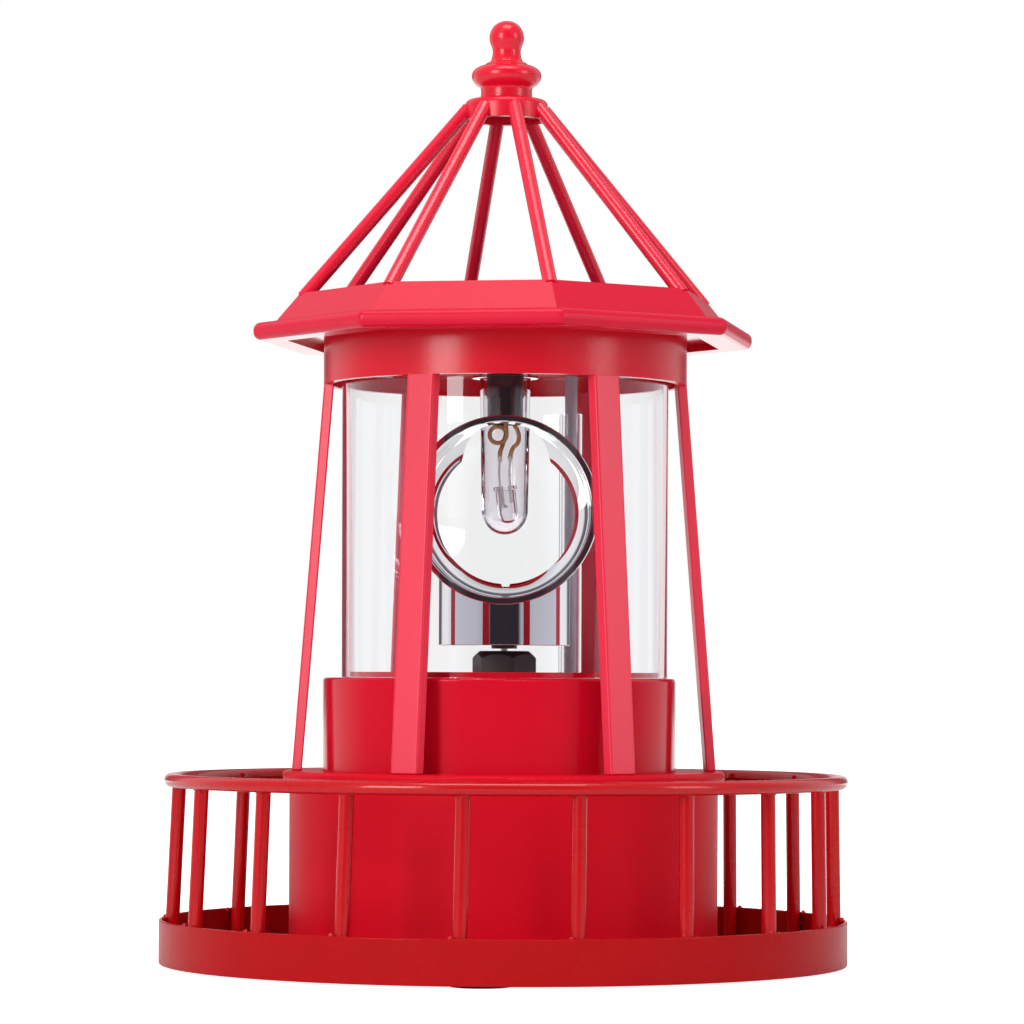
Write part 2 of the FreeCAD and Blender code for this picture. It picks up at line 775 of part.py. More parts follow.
# ---------------------------------------------------------------- reflector
def reflector():
    """A horizontal ring with a flared bore on an upright cup, plated all over."""
    half = reflector_depth / 2

    def bowl(front, rear):
        """The bore or the outside of the ring as a solid about +Y: an arc between its two ends."""
        low = Vec(front, -half, 0)
        high = Vec(rear, half, 0)
        bulge = Vec((front + rear) / 2 + reflector_bulge, 0, 0)
        arc = Part.Arc(low, bulge, high).toShape()
        axis_low = Vec(0, -half, 0)
        axis_high = Vec(0, half, 0)
        wire = Part.Wire([Part.makeLine(axis_low, low), arc, Part.makeLine(high, axis_high),
                          Part.makeLine(axis_high, axis_low)])
        return Part.Face(wire).revolve(Vec(0, 0, 0), Vec(0, 1, 0), 360)

    front_outside = reflector_rim_radius - reflector_bead_proud
    outside = bowl(front_outside, reflector_rear_radius + reflector_wall)
    bore = bowl(front_outside - reflector_wall, reflector_rear_radius)
    front_bead = Part.makeTorus(reflector_rim_radius - reflector_bead_radius, reflector_bead_radius,
                                Vec(0, -half, 0), Vec(0, 1, 0))
    rear_bead = Part.makeTorus(reflector_rear_radius + reflector_bead_radius, reflector_bead_radius,
                               Vec(0, half, 0), Vec(0, 1, 0))
    cup_low = cup_floor_height - reflector_height
    cup_high = -cup_top_drop
    cup = disc(cup_radius, cup_low, cup_high)
    hollow = disc(cup_radius - cup_wall, cup_low + cup_wall, cup_high)
    shell = cup.cut(hollow).fuse(outside).fuse(front_bead).fuse(rear_bead)
    shell = shell.cut(bore)
    past_rim = reflector_rim_radius + 1
    shell = shell.cut(disc(sleeve_cut_radius, 0, past_rim))
    shell = shell.cut(box((-sleeve_cut_radius, 0, 0), (sleeve_cut_radius, past_rim, past_rim)))
    shell = shell.cut(disc(reflector_hub_radius, cup_low, cup_low + cup_wall))
    notch = Part.makeCylinder(reflector_notch, half, Vec(0, 1, -reflector_rear_radius), Vec(0, 1, 0))
    shell = shell.cut(notch).removeSplitter()
    shell.rotate(Vec(0, 0, 0), UP, reflector_yaw)
    shell.translate(Vec(0, 0, reflector_height))
    return shell


def shaft_top():
    return cup_floor_height - reflector_hub_drop + reflector_hub_height - reflector_hub_roof


def reflector_hub():
    bottom = cup_floor_height - reflector_hub_drop
    flange_bottom = cup_floor_height + cup_wall
    stem = disc(reflector_hub_radius, bottom, bottom + reflector_hub_height)
    flange = disc(reflector_hub_flange_radius, flange_bottom, flange_bottom + reflector_hub_flange_height)
    bore = disc(shaft_radius, bottom, shaft_top())
    return stem.fuse(flange).cut(bore).removeSplitter()


# ---------------------------------------------------------------- movement
def second_gear_place():
    return around(second_gear_angle, gear_distance)


def first_gear_place():
    return second_gear_place() + around(first_gear_angle, gear_distance)


def motor_place():
    return first_gear_place() + around(motor_angle, gear_distance)


def pivot_top():
    return movement_floor + pivot_boss_height


def movement_case():
    half = movement_side / 2
    inner = half - movement_wall
    solid = box((-half, -half, movement_floor), (half, half, movement_top))
    solid = solid.cut(box((-inner, -inner, movement_floor), (inner, inner, movement_ceiling)))
    solid = solid.fuse(disc(bushing_radius, movement_top, nut_top - bushing_below_nut_top))
    solid = solid.cut(disc(shaft_radius + running_clearance, movement_ceiling, nut_top))
    for place in (first_gear_place(), second_gear_place()):
        solid = solid.cut(disc(arbor_radius, movement_ceiling, movement_ceiling + arbor_socket_depth, place))
    return solid.removeSplitter()


def movement_cover():
    half = movement_side / 2
    solid = box((-half, -half, movement_bottom), (half, half, movement_floor))
    solid = solid.fuse(disc(pivot_boss_radius, movement_floor, pivot_top()))
    solid = solid.cut(disc(shaft_radius + running_clearance, pivot_top() - shaft_pivot_depth, pivot_top()))
    for place in (first_gear_place(), second_gear_place()):
        solid = solid.cut(disc(arbor_radius, movement_floor - arbor_socket_depth, movement_floor, place))
    for place in motor_terminal_places():
        solid = solid.cut(disc(wire_radius + wire_hole_clearance, movement_bottom, movement_floor, place))
    return solid


def movement_nut():
    corner = nut_across_flats / 2 / math.cos(math.radians(30))
    corners = [around(nut_turn + 60 * k, corner, plateau_top) for k in range(7)]
    nut = Part.Face(Part.makePolygon(corners)).extrude(Vec(0, 0, nut_height))
    chamfer_bottom = nut_top - nut_chamfer_height
    widest = corner + nut_corner_margin
    cone = Part.makeCone(widest, nut_face_radius, nut_chamfer_height, Vec(0, 0, chamfer_bottom), UP)
    nut = nut.common(disc(widest, plateau_top, chamfer_bottom).fuse(cone))
    return nut.cut(disc(bushing_radius + thread_fit, plateau_top, nut_top))


def output_shaft():
    return disc(shaft_radius, pivot_top() - shaft_pivot_depth + running_clearance, shaft_top())


def direction(start, end):
    return math.degrees(math.atan2(end.y - start.y, end.x - start.x))


def meshing_tooth(towards, teeth):
    """The tooth angle that puts a gap where the other gear has a tooth."""
    return towards + 180.0 / teeth


def output_gear():
    towards = direction(Vec(0, 0, 0), second_gear_place())
    return gear(wheel_teeth, gear_level + 2 * gear_level_step, Vec(0, 0, 0),
                meshing_tooth(towards, wheel_teeth), shaft_radius)


def compound_gear(place, level, wheel_angle, pinion_angle):
    bore = arbor_radius + running_clearance
    wheel = gear(wheel_teeth, level, place, wheel_angle, bore)
    pinion_bottom = level + gear_level_step
    pinion = gear(pinion_teeth, pinion_bottom, place, pinion_angle, bore)
    spacer = ring(gear_spacer_radius, bore, level + gear_thickness, pinion_bottom, place)
    return wheel.fuse(spacer).fuse(pinion).removeSplitter()


def second_gear():
    place = second_gear_place()
    wheel_angle = meshing_tooth(direction(place, first_gear_place()), wheel_teeth)
    pinion_angle = direction(place, Vec(0, 0, 0))
    return compound_gear(place, gear_level + gear_level_step, wheel_angle, pinion_angle)


def first_gear():
    place = first_gear_place()
    wheel_angle = meshing_tooth(direction(place, motor_place()), wheel_teeth)
    pinion_angle = direction(place, second_gear_place())
    return compound_gear(place, gear_level, wheel_angle, pinion_angle)


def gear_arbors():
    bottom = movement_floor - arbor_socket_depth
    top = movement_ceiling + arbor_socket_depth
    return [disc(arbor_radius, bottom, top, place) for place in (first_gear_place(), second_gear_place())]


def motor_terminal_places():
    centre = motor_place()
    return [centre + Vec(side * motor_wire_offset, 0, 0) for side in (-1, 1)]


def motor_cap():
    centre = motor_place()
    cap_top = movement_floor + motor_cap_height
    cap = disc(motor_radius, movement_floor, cap_top, centre)
    pivot_floor = movement_floor + motor_pivot_floor
    return cap.cut(disc(motor_shaft_radius + running_clearance, pivot_floor, cap_top, centre))


def motor_can():
    centre = motor_place()
    bottom = movement_floor + motor_cap_height
    top = movement_floor + motor_height
    can = disc(motor_radius, bottom, top, centre)
    can = can.cut(disc(motor_radius - motor_wall, bottom, top - motor_wall, centre))
    can = can.fuse(disc(motor_bush_radius, top - 2 * motor_wall, top, centre))
    return can.cut(disc(motor_shaft_radius + running_clearance, bottom, top, centre)).removeSplitter()


def magnet_inner_radius():
    return motor_radius - motor_wall - magnet_gap - magnet_thickness


def rotor_bottom():
    return movement_floor + motor_cap_height + rotor_above_cap


def motor_magnets():
    centre = motor_place()
    outer = motor_radius - motor_wall - magnet_gap
    bottom = rotor_bottom()
    whole = ring(outer, magnet_inner_radius(), bottom, bottom + magnet_height, centre)
    half = magnet_split / 2
    split = box((centre.x - half, centre.y - outer, bottom),
                (centre.x + half, centre.y + outer, bottom + magnet_height))
    return whole.cut(split).Solids


def motor_rotor():
    centre = motor_place()
    bottom = rotor_bottom()
    radius = magnet_inner_radius() - rotor_gap
    core = disc(radius, bottom, bottom + rotor_height, centre)
    for k in range(3):
        slot = box((rotor_core_radius, -rotor_slot_width / 2, bottom),
                   (radius + 1, rotor_slot_width / 2, bottom + rotor_height))
        slot.rotate(Vec(0, 0, 0), UP, 120 * k)
        slot.translate(Vec(centre.x, centre.y, 0))
        core = core.cut(slot)
    commutator = disc(commutator_radius, bottom - commutator_height, bottom, centre)
    shaft_end = gear_level + gear_thickness + rotor_shaft_past_pinion
    shaft = disc(motor_shaft_radius, movement_floor + rotor_shaft_foot, shaft_end, centre)
    return core.fuse(commutator).fuse(shaft).removeSplitter()


def motor_pinion():
    place = motor_place()
    return gear(pinion_teeth, gear_level, place, direction(place, first_gear_place()), motor_shaft_radius)


# ---------------------------------------------------------------- electrics
def battery_centre_height():
    return cover_plug_top + holder_wall + holder_side_gap + battery_radius


def battery():
    start = Vec(-battery_length / 2, battery_row, battery_centre_height())
    body = Part.makeCylinder(battery_radius, battery_length, start, Vec(1, 0, 0))
    end = start + Vec(battery_length, 0, 0)
    nub = Part.makeCylinder(battery_nub_radius, battery_nub_length, end, Vec(1, 0, 0))
    return body.fuse(nub).removeSplitter()


def holder_ends():
    """The inner faces of the holder's two end walls along X."""
    low = -battery_length / 2 - spring_length - contact_thickness
    high = battery_length / 2 + battery_nub_length + contact_thickness
    return low, high


def battery_holder():
    low, high = holder_ends()
    half = battery_radius + holder_side_gap
    outer = box((low - holder_wall, battery_row - half - holder_wall, cover_plug_top),
                (high + holder_wall, battery_row + half + holder_wall, cover_plug_top + holder_depth))
    inner = box((low, battery_row - half, cover_plug_top + holder_wall),
                (high, battery_row + half, cover_plug_top + holder_depth))
    return outer.cut(inner)


def contact(x_low):
    half = contact_width / 2
    bottom = cover_plug_top + holder_wall
    top = cover_plug_top + holder_depth + contact_tab_rise
    return box((x_low, battery_row - half, bottom), (x_low + contact_thickness, battery_row + half, top))


def contact_plate():
    return contact(holder_ends()[1] - contact_thickness)


def contact_spring():
    """The negative contact: a plate and a conical coil that presses on the battery."""
    low = holder_ends()[0]
    plate = contact(low)
    start = low + contact_thickness + spring_sunk
    end = -battery_length / 2 - spring_wire_radius
    z = battery_centre_height()
    arcs = []

    def point(turn):
        share = turn / spring_turns
        radius = spring_base_radius + (spring_tip_radius - spring_base_radius) * share
        a = 2 * math.pi * turn
        x = start + (end - start) * share
        return Vec(x, battery_row + radius * math.cos(a), z + radius * math.sin(a))

    quarters = spring_turns * 4
    for k in range(quarters):
        arcs.append(Part.Arc(point(k / 4), point(k / 4 + 0.125), point(k / 4 + 0.25)).toShape())
    path = Part.Wire(arcs)
    tangent = arcs[0].tangentAt(arcs[0].FirstParameter)
    section = Part.Wire(Part.makeCircle(spring_wire_radius, point(0), tangent))
    coil = path.makePipeShell([section], True, False)
    gap = (end - start) / spring_turns - 2 * spring_wire_radius
    print(f"contact spring: least gap to itself {gap:.2f} mm")
    return plate.fuse(coil)


def board_top():
    return cover_plug_top + board_post_height + board_thickness


def circuit_board():
    bottom = cover_plug_top + board_post_height
    return box((-board_length / 2, board_row - board_width / 2, bottom),
               (board_length / 2, board_row + board_width / 2, board_top()))


def board_parts():
    top = board_top()

    def on_board(place):
        return Vec(place[0], board_row + place[1], top)

    inductor = disc(inductor_radius, top, top + inductor_height, on_board(inductor_place))
    capacitor = disc(capacitor_radius, top, top + capacitor_height, on_board(capacitor_place))
    chip = Part.makeBox(chip_length, chip_width, chip_height, on_board(chip_corner))
    return [inductor, capacitor, chip]


def switch_slot(bottom, top):
    x, y = switch_place
    half = switch_stem_width / 2 + switch_side_gap
    return box((x - switch_stem_length / 2 - switch_side_gap, y - half, bottom),
               (x + switch_stem_length / 2 + switch_travel + switch_side_gap, y + half, top))


def switch_body():
    x, y = switch_place
    middle = x + switch_travel / 2
    solid = box((middle - switch_length / 2, y - switch_width / 2, cover_plug_top),
                (middle + switch_length / 2, y + switch_width / 2, cover_plug_top + switch_height))
    return solid.cut(switch_slot(cover_plug_top, cover_plug_top + switch_stem_into_body + switch_side_gap))


def switch_slider():
    x, y = switch_place
    top = cover_plug_top + switch_stem_into_body
    return box((x - switch_stem_length / 2, y - switch_stem_width / 2, switch_ground_gap),
               (x + switch_stem_length / 2, y + switch_stem_width / 2, top))


def battery_wires():
    low, high = holder_ends()
    rim = cover_plug_top + holder_depth + contact_tab_rise
    board = board_top() + wire_touch
    positive = [(high - 0.2, battery_row, rim + 0.1), (high - 0.2, battery_row + 2, rim + 5),
                (24.0, 2.0, rim + 4), (17.0, 9.0, rim - 1), (15.5, 11.0, board)]
    negative = [(low + 0.2, battery_row, rim + 0.1), (low + 0.2, battery_row + 2, rim + 5),
                (-24.0, 2.0, rim + 4), (-17.0, 9.0, rim - 1), (-16.0, 10.5, board)]
    return [tube(positive, wire_radius, "positive wire"), tube(negative, wire_radius, "negative wire")]


def motor_wires():
    board = board_top() + wire_touch
    solids = []
    for place, start in zip(motor_terminal_places(), ((10.0, 14.0), (14.0, 15.0))):
        x, y = start
        points = [(x, y, board), (x + 0.3, y - 1, board + 13), (place.x - 0.5, place.y + 1, board + 28),
                  (place.x, place.y, movement_floor - wire_touch)]
        solids.append(tube(points, wire_radius, "motor wire"))
    return solids


def panel_wires():
    end = cable_place()
    above_deck = lamp_deck_top + wires_above_deck
    solids = []
    for side in (-1, 1):
        points = [(end.x + side * 0.8 - 2.6, end.y - 0.8, above_deck + 1.4),
                  (8 + side * 1.6, 14, above_deck + 3.2), (side * panel_wire_offset, 0, soffit_top + 0.2),
                  (side * panel_wire_offset, 0, tray_top - wire_touch)]
        solids.append(tube(points, wire_radius, "panel wire"))
    return solids


# ---------------------------------------------------------------- the assembly
save("feet", *feet())
save("floor_plate", floor_plate())
save("fascia_hoop", fascia_hoop())
save("bars_front", *[bar(angle) for angle in bars_front])
save("bars_right", *[bar(angle) for angle in bars_right])
save("bars_back", *[bar(angle) for angle in bars_back])
save("bars_left", *[bar(angle) for angle in bars_left])
save("hand_rail", hand_rail())

save("lantern_base", lantern_base())
save("bottom_cover", bottom_cover())
cover_head_bottom = cover_bottom - screw_head_height
save("cover_screws", *[screw(place, cover_head_bottom, cover_screw_length + floor_top - cover_bottom)
                       for place in cover_screw_places()])
save("motor_housing", motor_housing())
housing_head_bottom = deck_top - deck_thickness - screw_head_height
save("housing_screws", *[screw(place, housing_head_bottom, deck_thickness + housing_screw_length)
                         for place in housing_screw_places()])

post_step = 360.0 / post_count
save("window_posts", *[window_post(post_first_angle + post_step * k) for k in range(post_count)])
save("cap_ring", cap_ring())
save("lantern_glass", lantern_glass())

eave_step = 360.0 / eave_corners
save("roof_skirt", roof_skirt())
save("roof_soffit", roof_soffit())
save("roof_rafters", *[rafter(eave_first_corner + eave_step * k) for k in range(eave_corners)])
save("roof_hub", roof_hub())
save("finial", finial())
save("finial_screw", finial_screw())
save("panel_tray", panel_tray())
save("solar_panel", solar_panel())

save("lamp_deck", lamp_deck())
roof_head_bottom = lamp_deck_bottom - screw_head_height
save("roof_screws", *[screw(place, roof_head_bottom, soffit_top - lamp_deck_bottom)
                      for place in roof_screw_places()])
save("lamp_socket", lamp_socket())
save("lamp_sleeve", lamp_sleeve())
save("led", led())
save("led_leads", led_lead(-1), led_lead(1))
save("lamp_wires", *lamp_wires())
save("cable_tube", cable_tube())
save("riser_cable", riser_cable())

save("reflector", reflector())
save("reflector_hub", reflector_hub())
save("movement_case", movement_case())
save("movement_cover", movement_cover())
save("movement_nut", movement_nut())
save("output_shaft", output_shaft())
save("output_gear", output_gear())
save("second_gear", second_gear())
save("first_gear", first_gear())
save("gear_arbors", *gear_arbors())
save("motor_cap", motor_cap())
save("motor_can", motor_can())
save("motor_magnets", *motor_magnets())
save("motor_rotor", motor_rotor())
save("motor_pinion", motor_pinion())

save("battery", battery())
save("battery_holder", battery_holder())
save("contact_plate", contact_plate())
save("contact_spring", contact_spring())
save("circuit_board", circuit_board())
save("board_parts", *board_parts())
save("switch_body", switch_body())
save("switch_slider", switch_slider())
save("battery_wires", *battery_wires())
save("motor_wires", *motor_wires())
save("panel_wires", *panel_wires())
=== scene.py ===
"""A garden lamp shaped as a lighthouse lantern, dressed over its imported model. Metres, +Z up, front -Y."""
import math

import bmesh
import bpy
from mathutils import Matrix, Vector


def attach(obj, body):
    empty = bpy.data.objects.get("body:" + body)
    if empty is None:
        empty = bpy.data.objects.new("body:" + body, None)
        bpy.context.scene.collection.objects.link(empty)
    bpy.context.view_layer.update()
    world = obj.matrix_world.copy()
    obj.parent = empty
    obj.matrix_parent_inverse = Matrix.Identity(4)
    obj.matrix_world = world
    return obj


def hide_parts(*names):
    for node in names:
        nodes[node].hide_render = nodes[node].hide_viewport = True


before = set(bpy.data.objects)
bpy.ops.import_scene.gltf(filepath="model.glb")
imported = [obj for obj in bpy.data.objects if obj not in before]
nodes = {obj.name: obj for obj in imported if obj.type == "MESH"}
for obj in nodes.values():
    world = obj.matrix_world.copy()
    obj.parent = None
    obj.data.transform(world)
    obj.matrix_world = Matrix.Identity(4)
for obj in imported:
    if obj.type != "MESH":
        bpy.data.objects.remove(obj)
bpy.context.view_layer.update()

scene = bpy.context.scene
scene.view_settings.view_transform = "Standard"
mm = 0.001

# ------------------------------ camera, floor and light
# The photograph is taken level from about a metre in front with a long lens, against plain white.
# The lens is shifted so that the lamp stands centred, and the camera is rolled by a quarter of a degree.
camera_roll = -0.0042
camera = bpy.data.objects.new("camera", bpy.data.cameras.new("camera"))
scene.collection.objects.link(camera)
scene.camera = camera
camera.data.lens = 151.8
camera.data.shift_x = 0.0085
camera.data.shift_y = 0.1611
camera.location = (-0.0002, -1.071, 0.07147)
camera.rotation_euler = (math.radians(90), camera_roll, 0)
camera.data.clip_start = 0.01
camera.data.clip_end = 20


def feed(tree, socket, value):
    """Gives a node's input another node's output, a colour or a plain number."""
    if isinstance(value, bpy.types.NodeSocket):
        tree.links.new(value, socket)
    elif isinstance(value, tuple):
        socket.default_value = (*value, 1)
    else:
        socket.default_value = value


def math_node(tree, operation, first, second=0.0):
    """A Math node whose two inputs are sockets or plain numbers."""
    node = tree.nodes.new("ShaderNodeMath")
    node.operation = operation
    feed(tree, node.inputs[0], first)
    feed(tree, node.inputs[1], second)
    return node.outputs[0]


def axes(tree, kind="Object"):
    """The X, Y and Z of one kind of texture coordinate."""
    split = tree.nodes.new("ShaderNodeSeparateXYZ")
    place = tree.nodes.new("ShaderNodeTexCoord")
    tree.links.new(place.outputs[kind], split.inputs[0])
    return split.outputs


# A sheet of white paper lies under the lamp. The eye sees all of it as white as the backdrop, and a shiny
# face sees only its far part so, from this distance behind the lamp.
floor_half, paper_turns_white = 6, 0.5
floor_bm = bmesh.new()
bmesh.ops.create_grid(floor_bm, x_segments=1, y_segments=1, size=floor_half)
floor_mesh = bpy.data.meshes.new("floor")
floor_bm.to_mesh(floor_mesh)
floor = bpy.data.objects.new("floor", floor_mesh)
scene.collection.objects.link(floor)
floor_paper = bpy.data.materials.new("floor_paper")
floor_paper.use_nodes = True
paper = floor_paper.node_tree
paper.nodes.clear()
paper_out = paper.nodes.new("ShaderNodeOutputMaterial")
paper_mix = paper.nodes.new("ShaderNodeAddShader")
paper_diffuse = paper.nodes.new("ShaderNodeBsdfDiffuse")
paper_diffuse.inputs["Color"].default_value = (0.86, 0.86, 0.86, 1)
paper_glow = paper.nodes.new("ShaderNodeEmission")
paper_path = paper.nodes.new("ShaderNodeLightPath").outputs
far_behind = math_node(paper, "GREATER_THAN", axes(paper)["Y"], paper_turns_white)
mirrored_far = math_node(paper, "MULTIPLY", paper_path["Is Glossy Ray"], far_behind)
paper_seen = math_node(paper, "MAXIMUM", paper_path["Is Camera Ray"], paper_path["Is Transmission Ray"])
paper_level = math_node(paper, "MULTIPLY", math_node(paper, "MAXIMUM", paper_seen, mirrored_far), 0.9)
paper.links.new(paper_level, paper_glow.inputs["Strength"])
paper.links.new(paper_diffuse.outputs[0], paper_mix.inputs[0])
paper.links.new(paper_glow.outputs[0], paper_mix.inputs[1])
paper.links.new(paper_mix.outputs[0], paper_out.inputs["Surface"])
floor_mesh.materials.append(floor_paper)


def spread(tree, value, low, high, start=0.0, end=1.0):
    """A value mapped from one range, 0 to 1 unless given, to another."""
    span = tree.nodes.new("ShaderNodeMapRange")
    for label, limit in (("From Min", start), ("From Max", end), ("To Min", low), ("To Max", high)):
        span.inputs[label].default_value = limit
    tree.links.new(value, span.inputs["Value"])
    return span.outputs[0]


def colour_mix(tree, share, first, second, blend="MIX"):
    """Two colours mixed by a share; each of the three is a socket or a plain value."""
    mix = tree.nodes.new("ShaderNodeMix")
    mix.data_type = "RGBA"
    mix.blend_type = blend
    for index, value in ((0, share), (6, first), (7, second)):
        feed(tree, mix.inputs[index], value)
    return mix.outputs[2]


# The room is white to the eye, and so is its rear part through the glass. What shines sees it as it is:
# dark straight in front, where the camera stands, grey-lilac at the sides, pale overhead, and white behind
# with a narrow dark strip on each side. What is matt gets an even fill, slightly stronger from the left.
studio = bpy.data.worlds.new("studio")
scene.world = studio
studio.use_nodes = True
sky = studio.node_tree
sky.nodes.clear()
sky_out = sky.nodes.new("ShaderNodeOutputWorld")
sky_glow = sky.nodes.new("ShaderNodeBackground")
sky_path = sky.nodes.new("ShaderNodeLightPath").outputs
east, north, height = axes(sky, "Generated")
east_square = math_node(sky, "MULTIPLY", east, east)
north_square = math_node(sky, "MULTIPLY", north, north)
level_length = math_node(sky, "SQRT", math_node(sky, "ADD", east_square, north_square))
south = math_node(sky, "MULTIPLY", north, -1.0)
ahead = math_node(sky, "DIVIDE", south, math_node(sky, "MAXIMUM", level_length, 0.001))
front_part = math_node(sky, "MAXIMUM", ahead, 0.0)
rear_part = math_node(sky, "MAXIMUM", north, 0.0)
look = math_node(sky, "SUBTRACT", front_part, rear_part)

# The room's tones from straight behind the lamp, at 0, by the sides to straight in front of it, at 1.
room_tones = [(0.0, (1.0, 1.0, 1.0)), (0.012, (1.0, 1.0, 1.0)), (0.02, (0.12, 0.11, 0.13)),
              (0.08, (0.16, 0.15, 0.18)), (0.11, (0.9, 0.9, 0.92)), (0.24, (0.98, 0.98, 1.0)),
              (0.40, (0.6, 0.58, 0.66)), (0.80, (0.56, 0.55, 0.62)), (0.935, (0.44, 0.43, 0.49)),
              (0.955, (0.028, 0.022, 0.028)), (1.0, (0.03, 0.024, 0.03))]
room = sky.nodes.new("ShaderNodeValToRGB")
while len(room.color_ramp.elements) < len(room_tones):
    room.color_ramp.elements.new(0.5)
for stop, (where, tone) in zip(room.color_ramp.elements, room_tones):
    stop.position = where
    stop.color = (*tone, 1)
sky.links.new(math_node(sky, "MULTIPLY", math_node(sky, "ADD", look, 1.0), 0.5), room.inputs[0])
overhead = spread(sky, height, 0.0, 1.0, start=0.55, end=0.8)
seen_by_gloss = colour_mix(sky, overhead, room.outputs["Color"], (0.6, 0.6, 0.63))
matt_fill = math_node(sky, "SUBTRACT", 0.5, math_node(sky, "MULTIPLY", east, 0.09))
lit_room = colour_mix(sky, sky_path["Is Glossy Ray"], matt_fill, seen_by_gloss)
behind = spread(sky, ahead, 0.0, 1.0, start=-0.5, end=-0.8)
through_glass = math_node(sky, "MULTIPLY", sky_path["Is Transmission Ray"], behind)
white_seen = math_node(sky, "MAXIMUM", sky_path["Is Camera Ray"], through_glass)
sky.links.new(colour_mix(sky, white_seen, lit_room, (1.0, 1.0, 1.0)), sky_glow.inputs["Color"])
sky.links.new(sky_glow.outputs[0], sky_out.inputs["Surface"])

lamp_middle = Vector((0, 0, 0.12))


def softbox(name, bearing, distance, low, high, width, power):
    """An upright studio softbox at a bearing from the front, between two heights, that faces the lamp."""
    light = bpy.data.lights.new(name, "AREA")
    light.shape = "RECTANGLE"
    light.size, light.size_y = width, high - low
    light.energy = power
    box = bpy.data.objects.new(name, light)
    scene.collection.objects.link(box)
    turn = math.radians(bearing)
    box.location = (distance * math.sin(turn), -distance * math.cos(turn), (low + high) / 2)
    box.rotation_euler = (lamp_middle - box.location).to_track_quat("-Z", "Y").to_euler()
    box.visible_camera = False


softbox("softbox_left", bearing=-38, distance=1.3, low=0.2, high=0.8, width=0.44, power=9.0)
softbox("softbox_right", bearing=63, distance=1.3, low=0.2, high=0.8, width=0.36, power=3.4)
softbox("softbox_top", bearing=0, distance=0.35, low=1.1, high=1.6, width=0.9, power=9.0)

# ------------------------------ gallery hoop
# A band of thin steel rolled to a ring and painted gloss red like the rest of the gallery; its paint is made
# darker, as painted shade. It is the outer foot of the gallery.
# Its edges are dressed round and its two ends are butted and welded at the back.
hoop_radius = 85.2 * mm
hoop_wall = 0.9 * mm
hoop_bottom, hoop_top = 0.6 * mm, 11.5 * mm
hoop_seam_half = Vector((1.1, 0.35, 5.2)) * mm
hoop_seam_place = Vector((9 * mm, hoop_radius - 0.6 * mm, (hoop_bottom + hoop_top) / 2))


def new_material(name, colour, roughness, metallic=0.0, coat=0.0, coat_roughness=0.1, specular=0.5):
    """A Principled material with plain values; the patterns of a finish may take their place."""
    material = bpy.data.materials.new(name)
    material.use_nodes = True
    shader = material.node_tree.nodes["Principled BSDF"]
    shader.inputs["Base Color"].default_value = (*colour, 1)
    shader.inputs["Roughness"].default_value = roughness
    shader.inputs["Metallic"].default_value = metallic
    shader.inputs["Coat Weight"].default_value = coat
    shader.inputs["Coat Roughness"].default_value = coat_roughness
    shader.inputs["Specular IOR Level"].default_value = specular
    return material


def new_group(name, inputs, outputs):
    """A shader node group with float inputs (name, default) and outputs (name, socket type)."""
    group = bpy.data.node_groups.new(name, "ShaderNodeTree")
    for label, default in inputs:
        socket = group.interface.new_socket(name=label, in_out="INPUT", socket_type="NodeSocketFloat")
        socket.default_value = default
    for label, kind in outputs:
        group.interface.new_socket(name=label, in_out="OUTPUT", socket_type=kind)
    entry, leave = group.nodes.new("NodeGroupInput"), group.nodes.new("NodeGroupOutput")
    return group, entry, leave


def noise_node(tree, scale, detail, roughness=0.5):
    """Noise over Object coordinates; the scale is in features per metre."""
    place = tree.nodes.new("ShaderNodeTexCoord")
    noise = tree.nodes.new("ShaderNodeTexNoise")
    feed(tree, noise.inputs["Scale"], scale)
    noise.inputs["Detail"].default_value = detail
    noise.inputs["Roughness"].default_value = roughness
    tree.links.new(place.outputs["Object"], noise.inputs["Vector"])
    return noise.outputs["Fac"]


def shaded(tree, colour, value, low, high):
    """The colour made darker or lighter by a 0 to 1 value, between two factors."""
    return colour_mix(tree, 1.0, colour, spread(tree, value, low, high), blend="MULTIPLY")


def vary(material, colour, tone, darkest, lightest, smoothest, roughest):
    """Varies a colour between two factors, and the roughness between two values, by a 0 to 1 tone."""
    tree = material.node_tree
    shader = tree.nodes["Principled BSDF"]
    tree.links.new(shaded(tree, colour, tone, darkest, lightest), shader.inputs["Base Color"])
    tree.links.new(spread(tree, tone, smoothest, roughest), shader.inputs["Roughness"])


def use_bump(material, height, strength, distance):
    """Feeds a height to the shader's normal through a Bump node."""
    tree = material.node_tree
    bump = tree.nodes.new("ShaderNodeBump")
    bump.inputs["Strength"].default_value = strength
    bump.inputs["Distance"].default_value = distance
    tree.links.new(height, bump.inputs["Height"])
    tree.links.new(bump.outputs["Normal"], tree.nodes["Principled BSDF"].inputs["Normal"])


# Sprayed paint: a soft orange peel, and thin dust that dulls the gloss in patches.
paint_film, film_in, film_out = new_group(
    "paint_film", [("Peel Scale", 260.0), ("Dust Scale", 45.0)],
    [("Peel", "NodeSocketFloat"), ("Dust", "NodeSocketFloat")])
peel = noise_node(paint_film, film_in.outputs["Peel Scale"], 1.5, 0.4)
dust = noise_node(paint_film, film_in.outputs["Dust Scale"], 4.0, 0.65)
paint_film.links.new(peel, film_out.inputs["Peel"])
paint_film.links.new(dust, film_out.inputs["Dust"])


def use_group(material, group, **values):
    """Places a node group in a material with its own values."""
    node = material.node_tree.nodes.new("ShaderNodeGroup")
    node.node_tree = group
    for label, value in values.items():
        node.inputs[label.replace("_", " ")].default_value = value
    return node


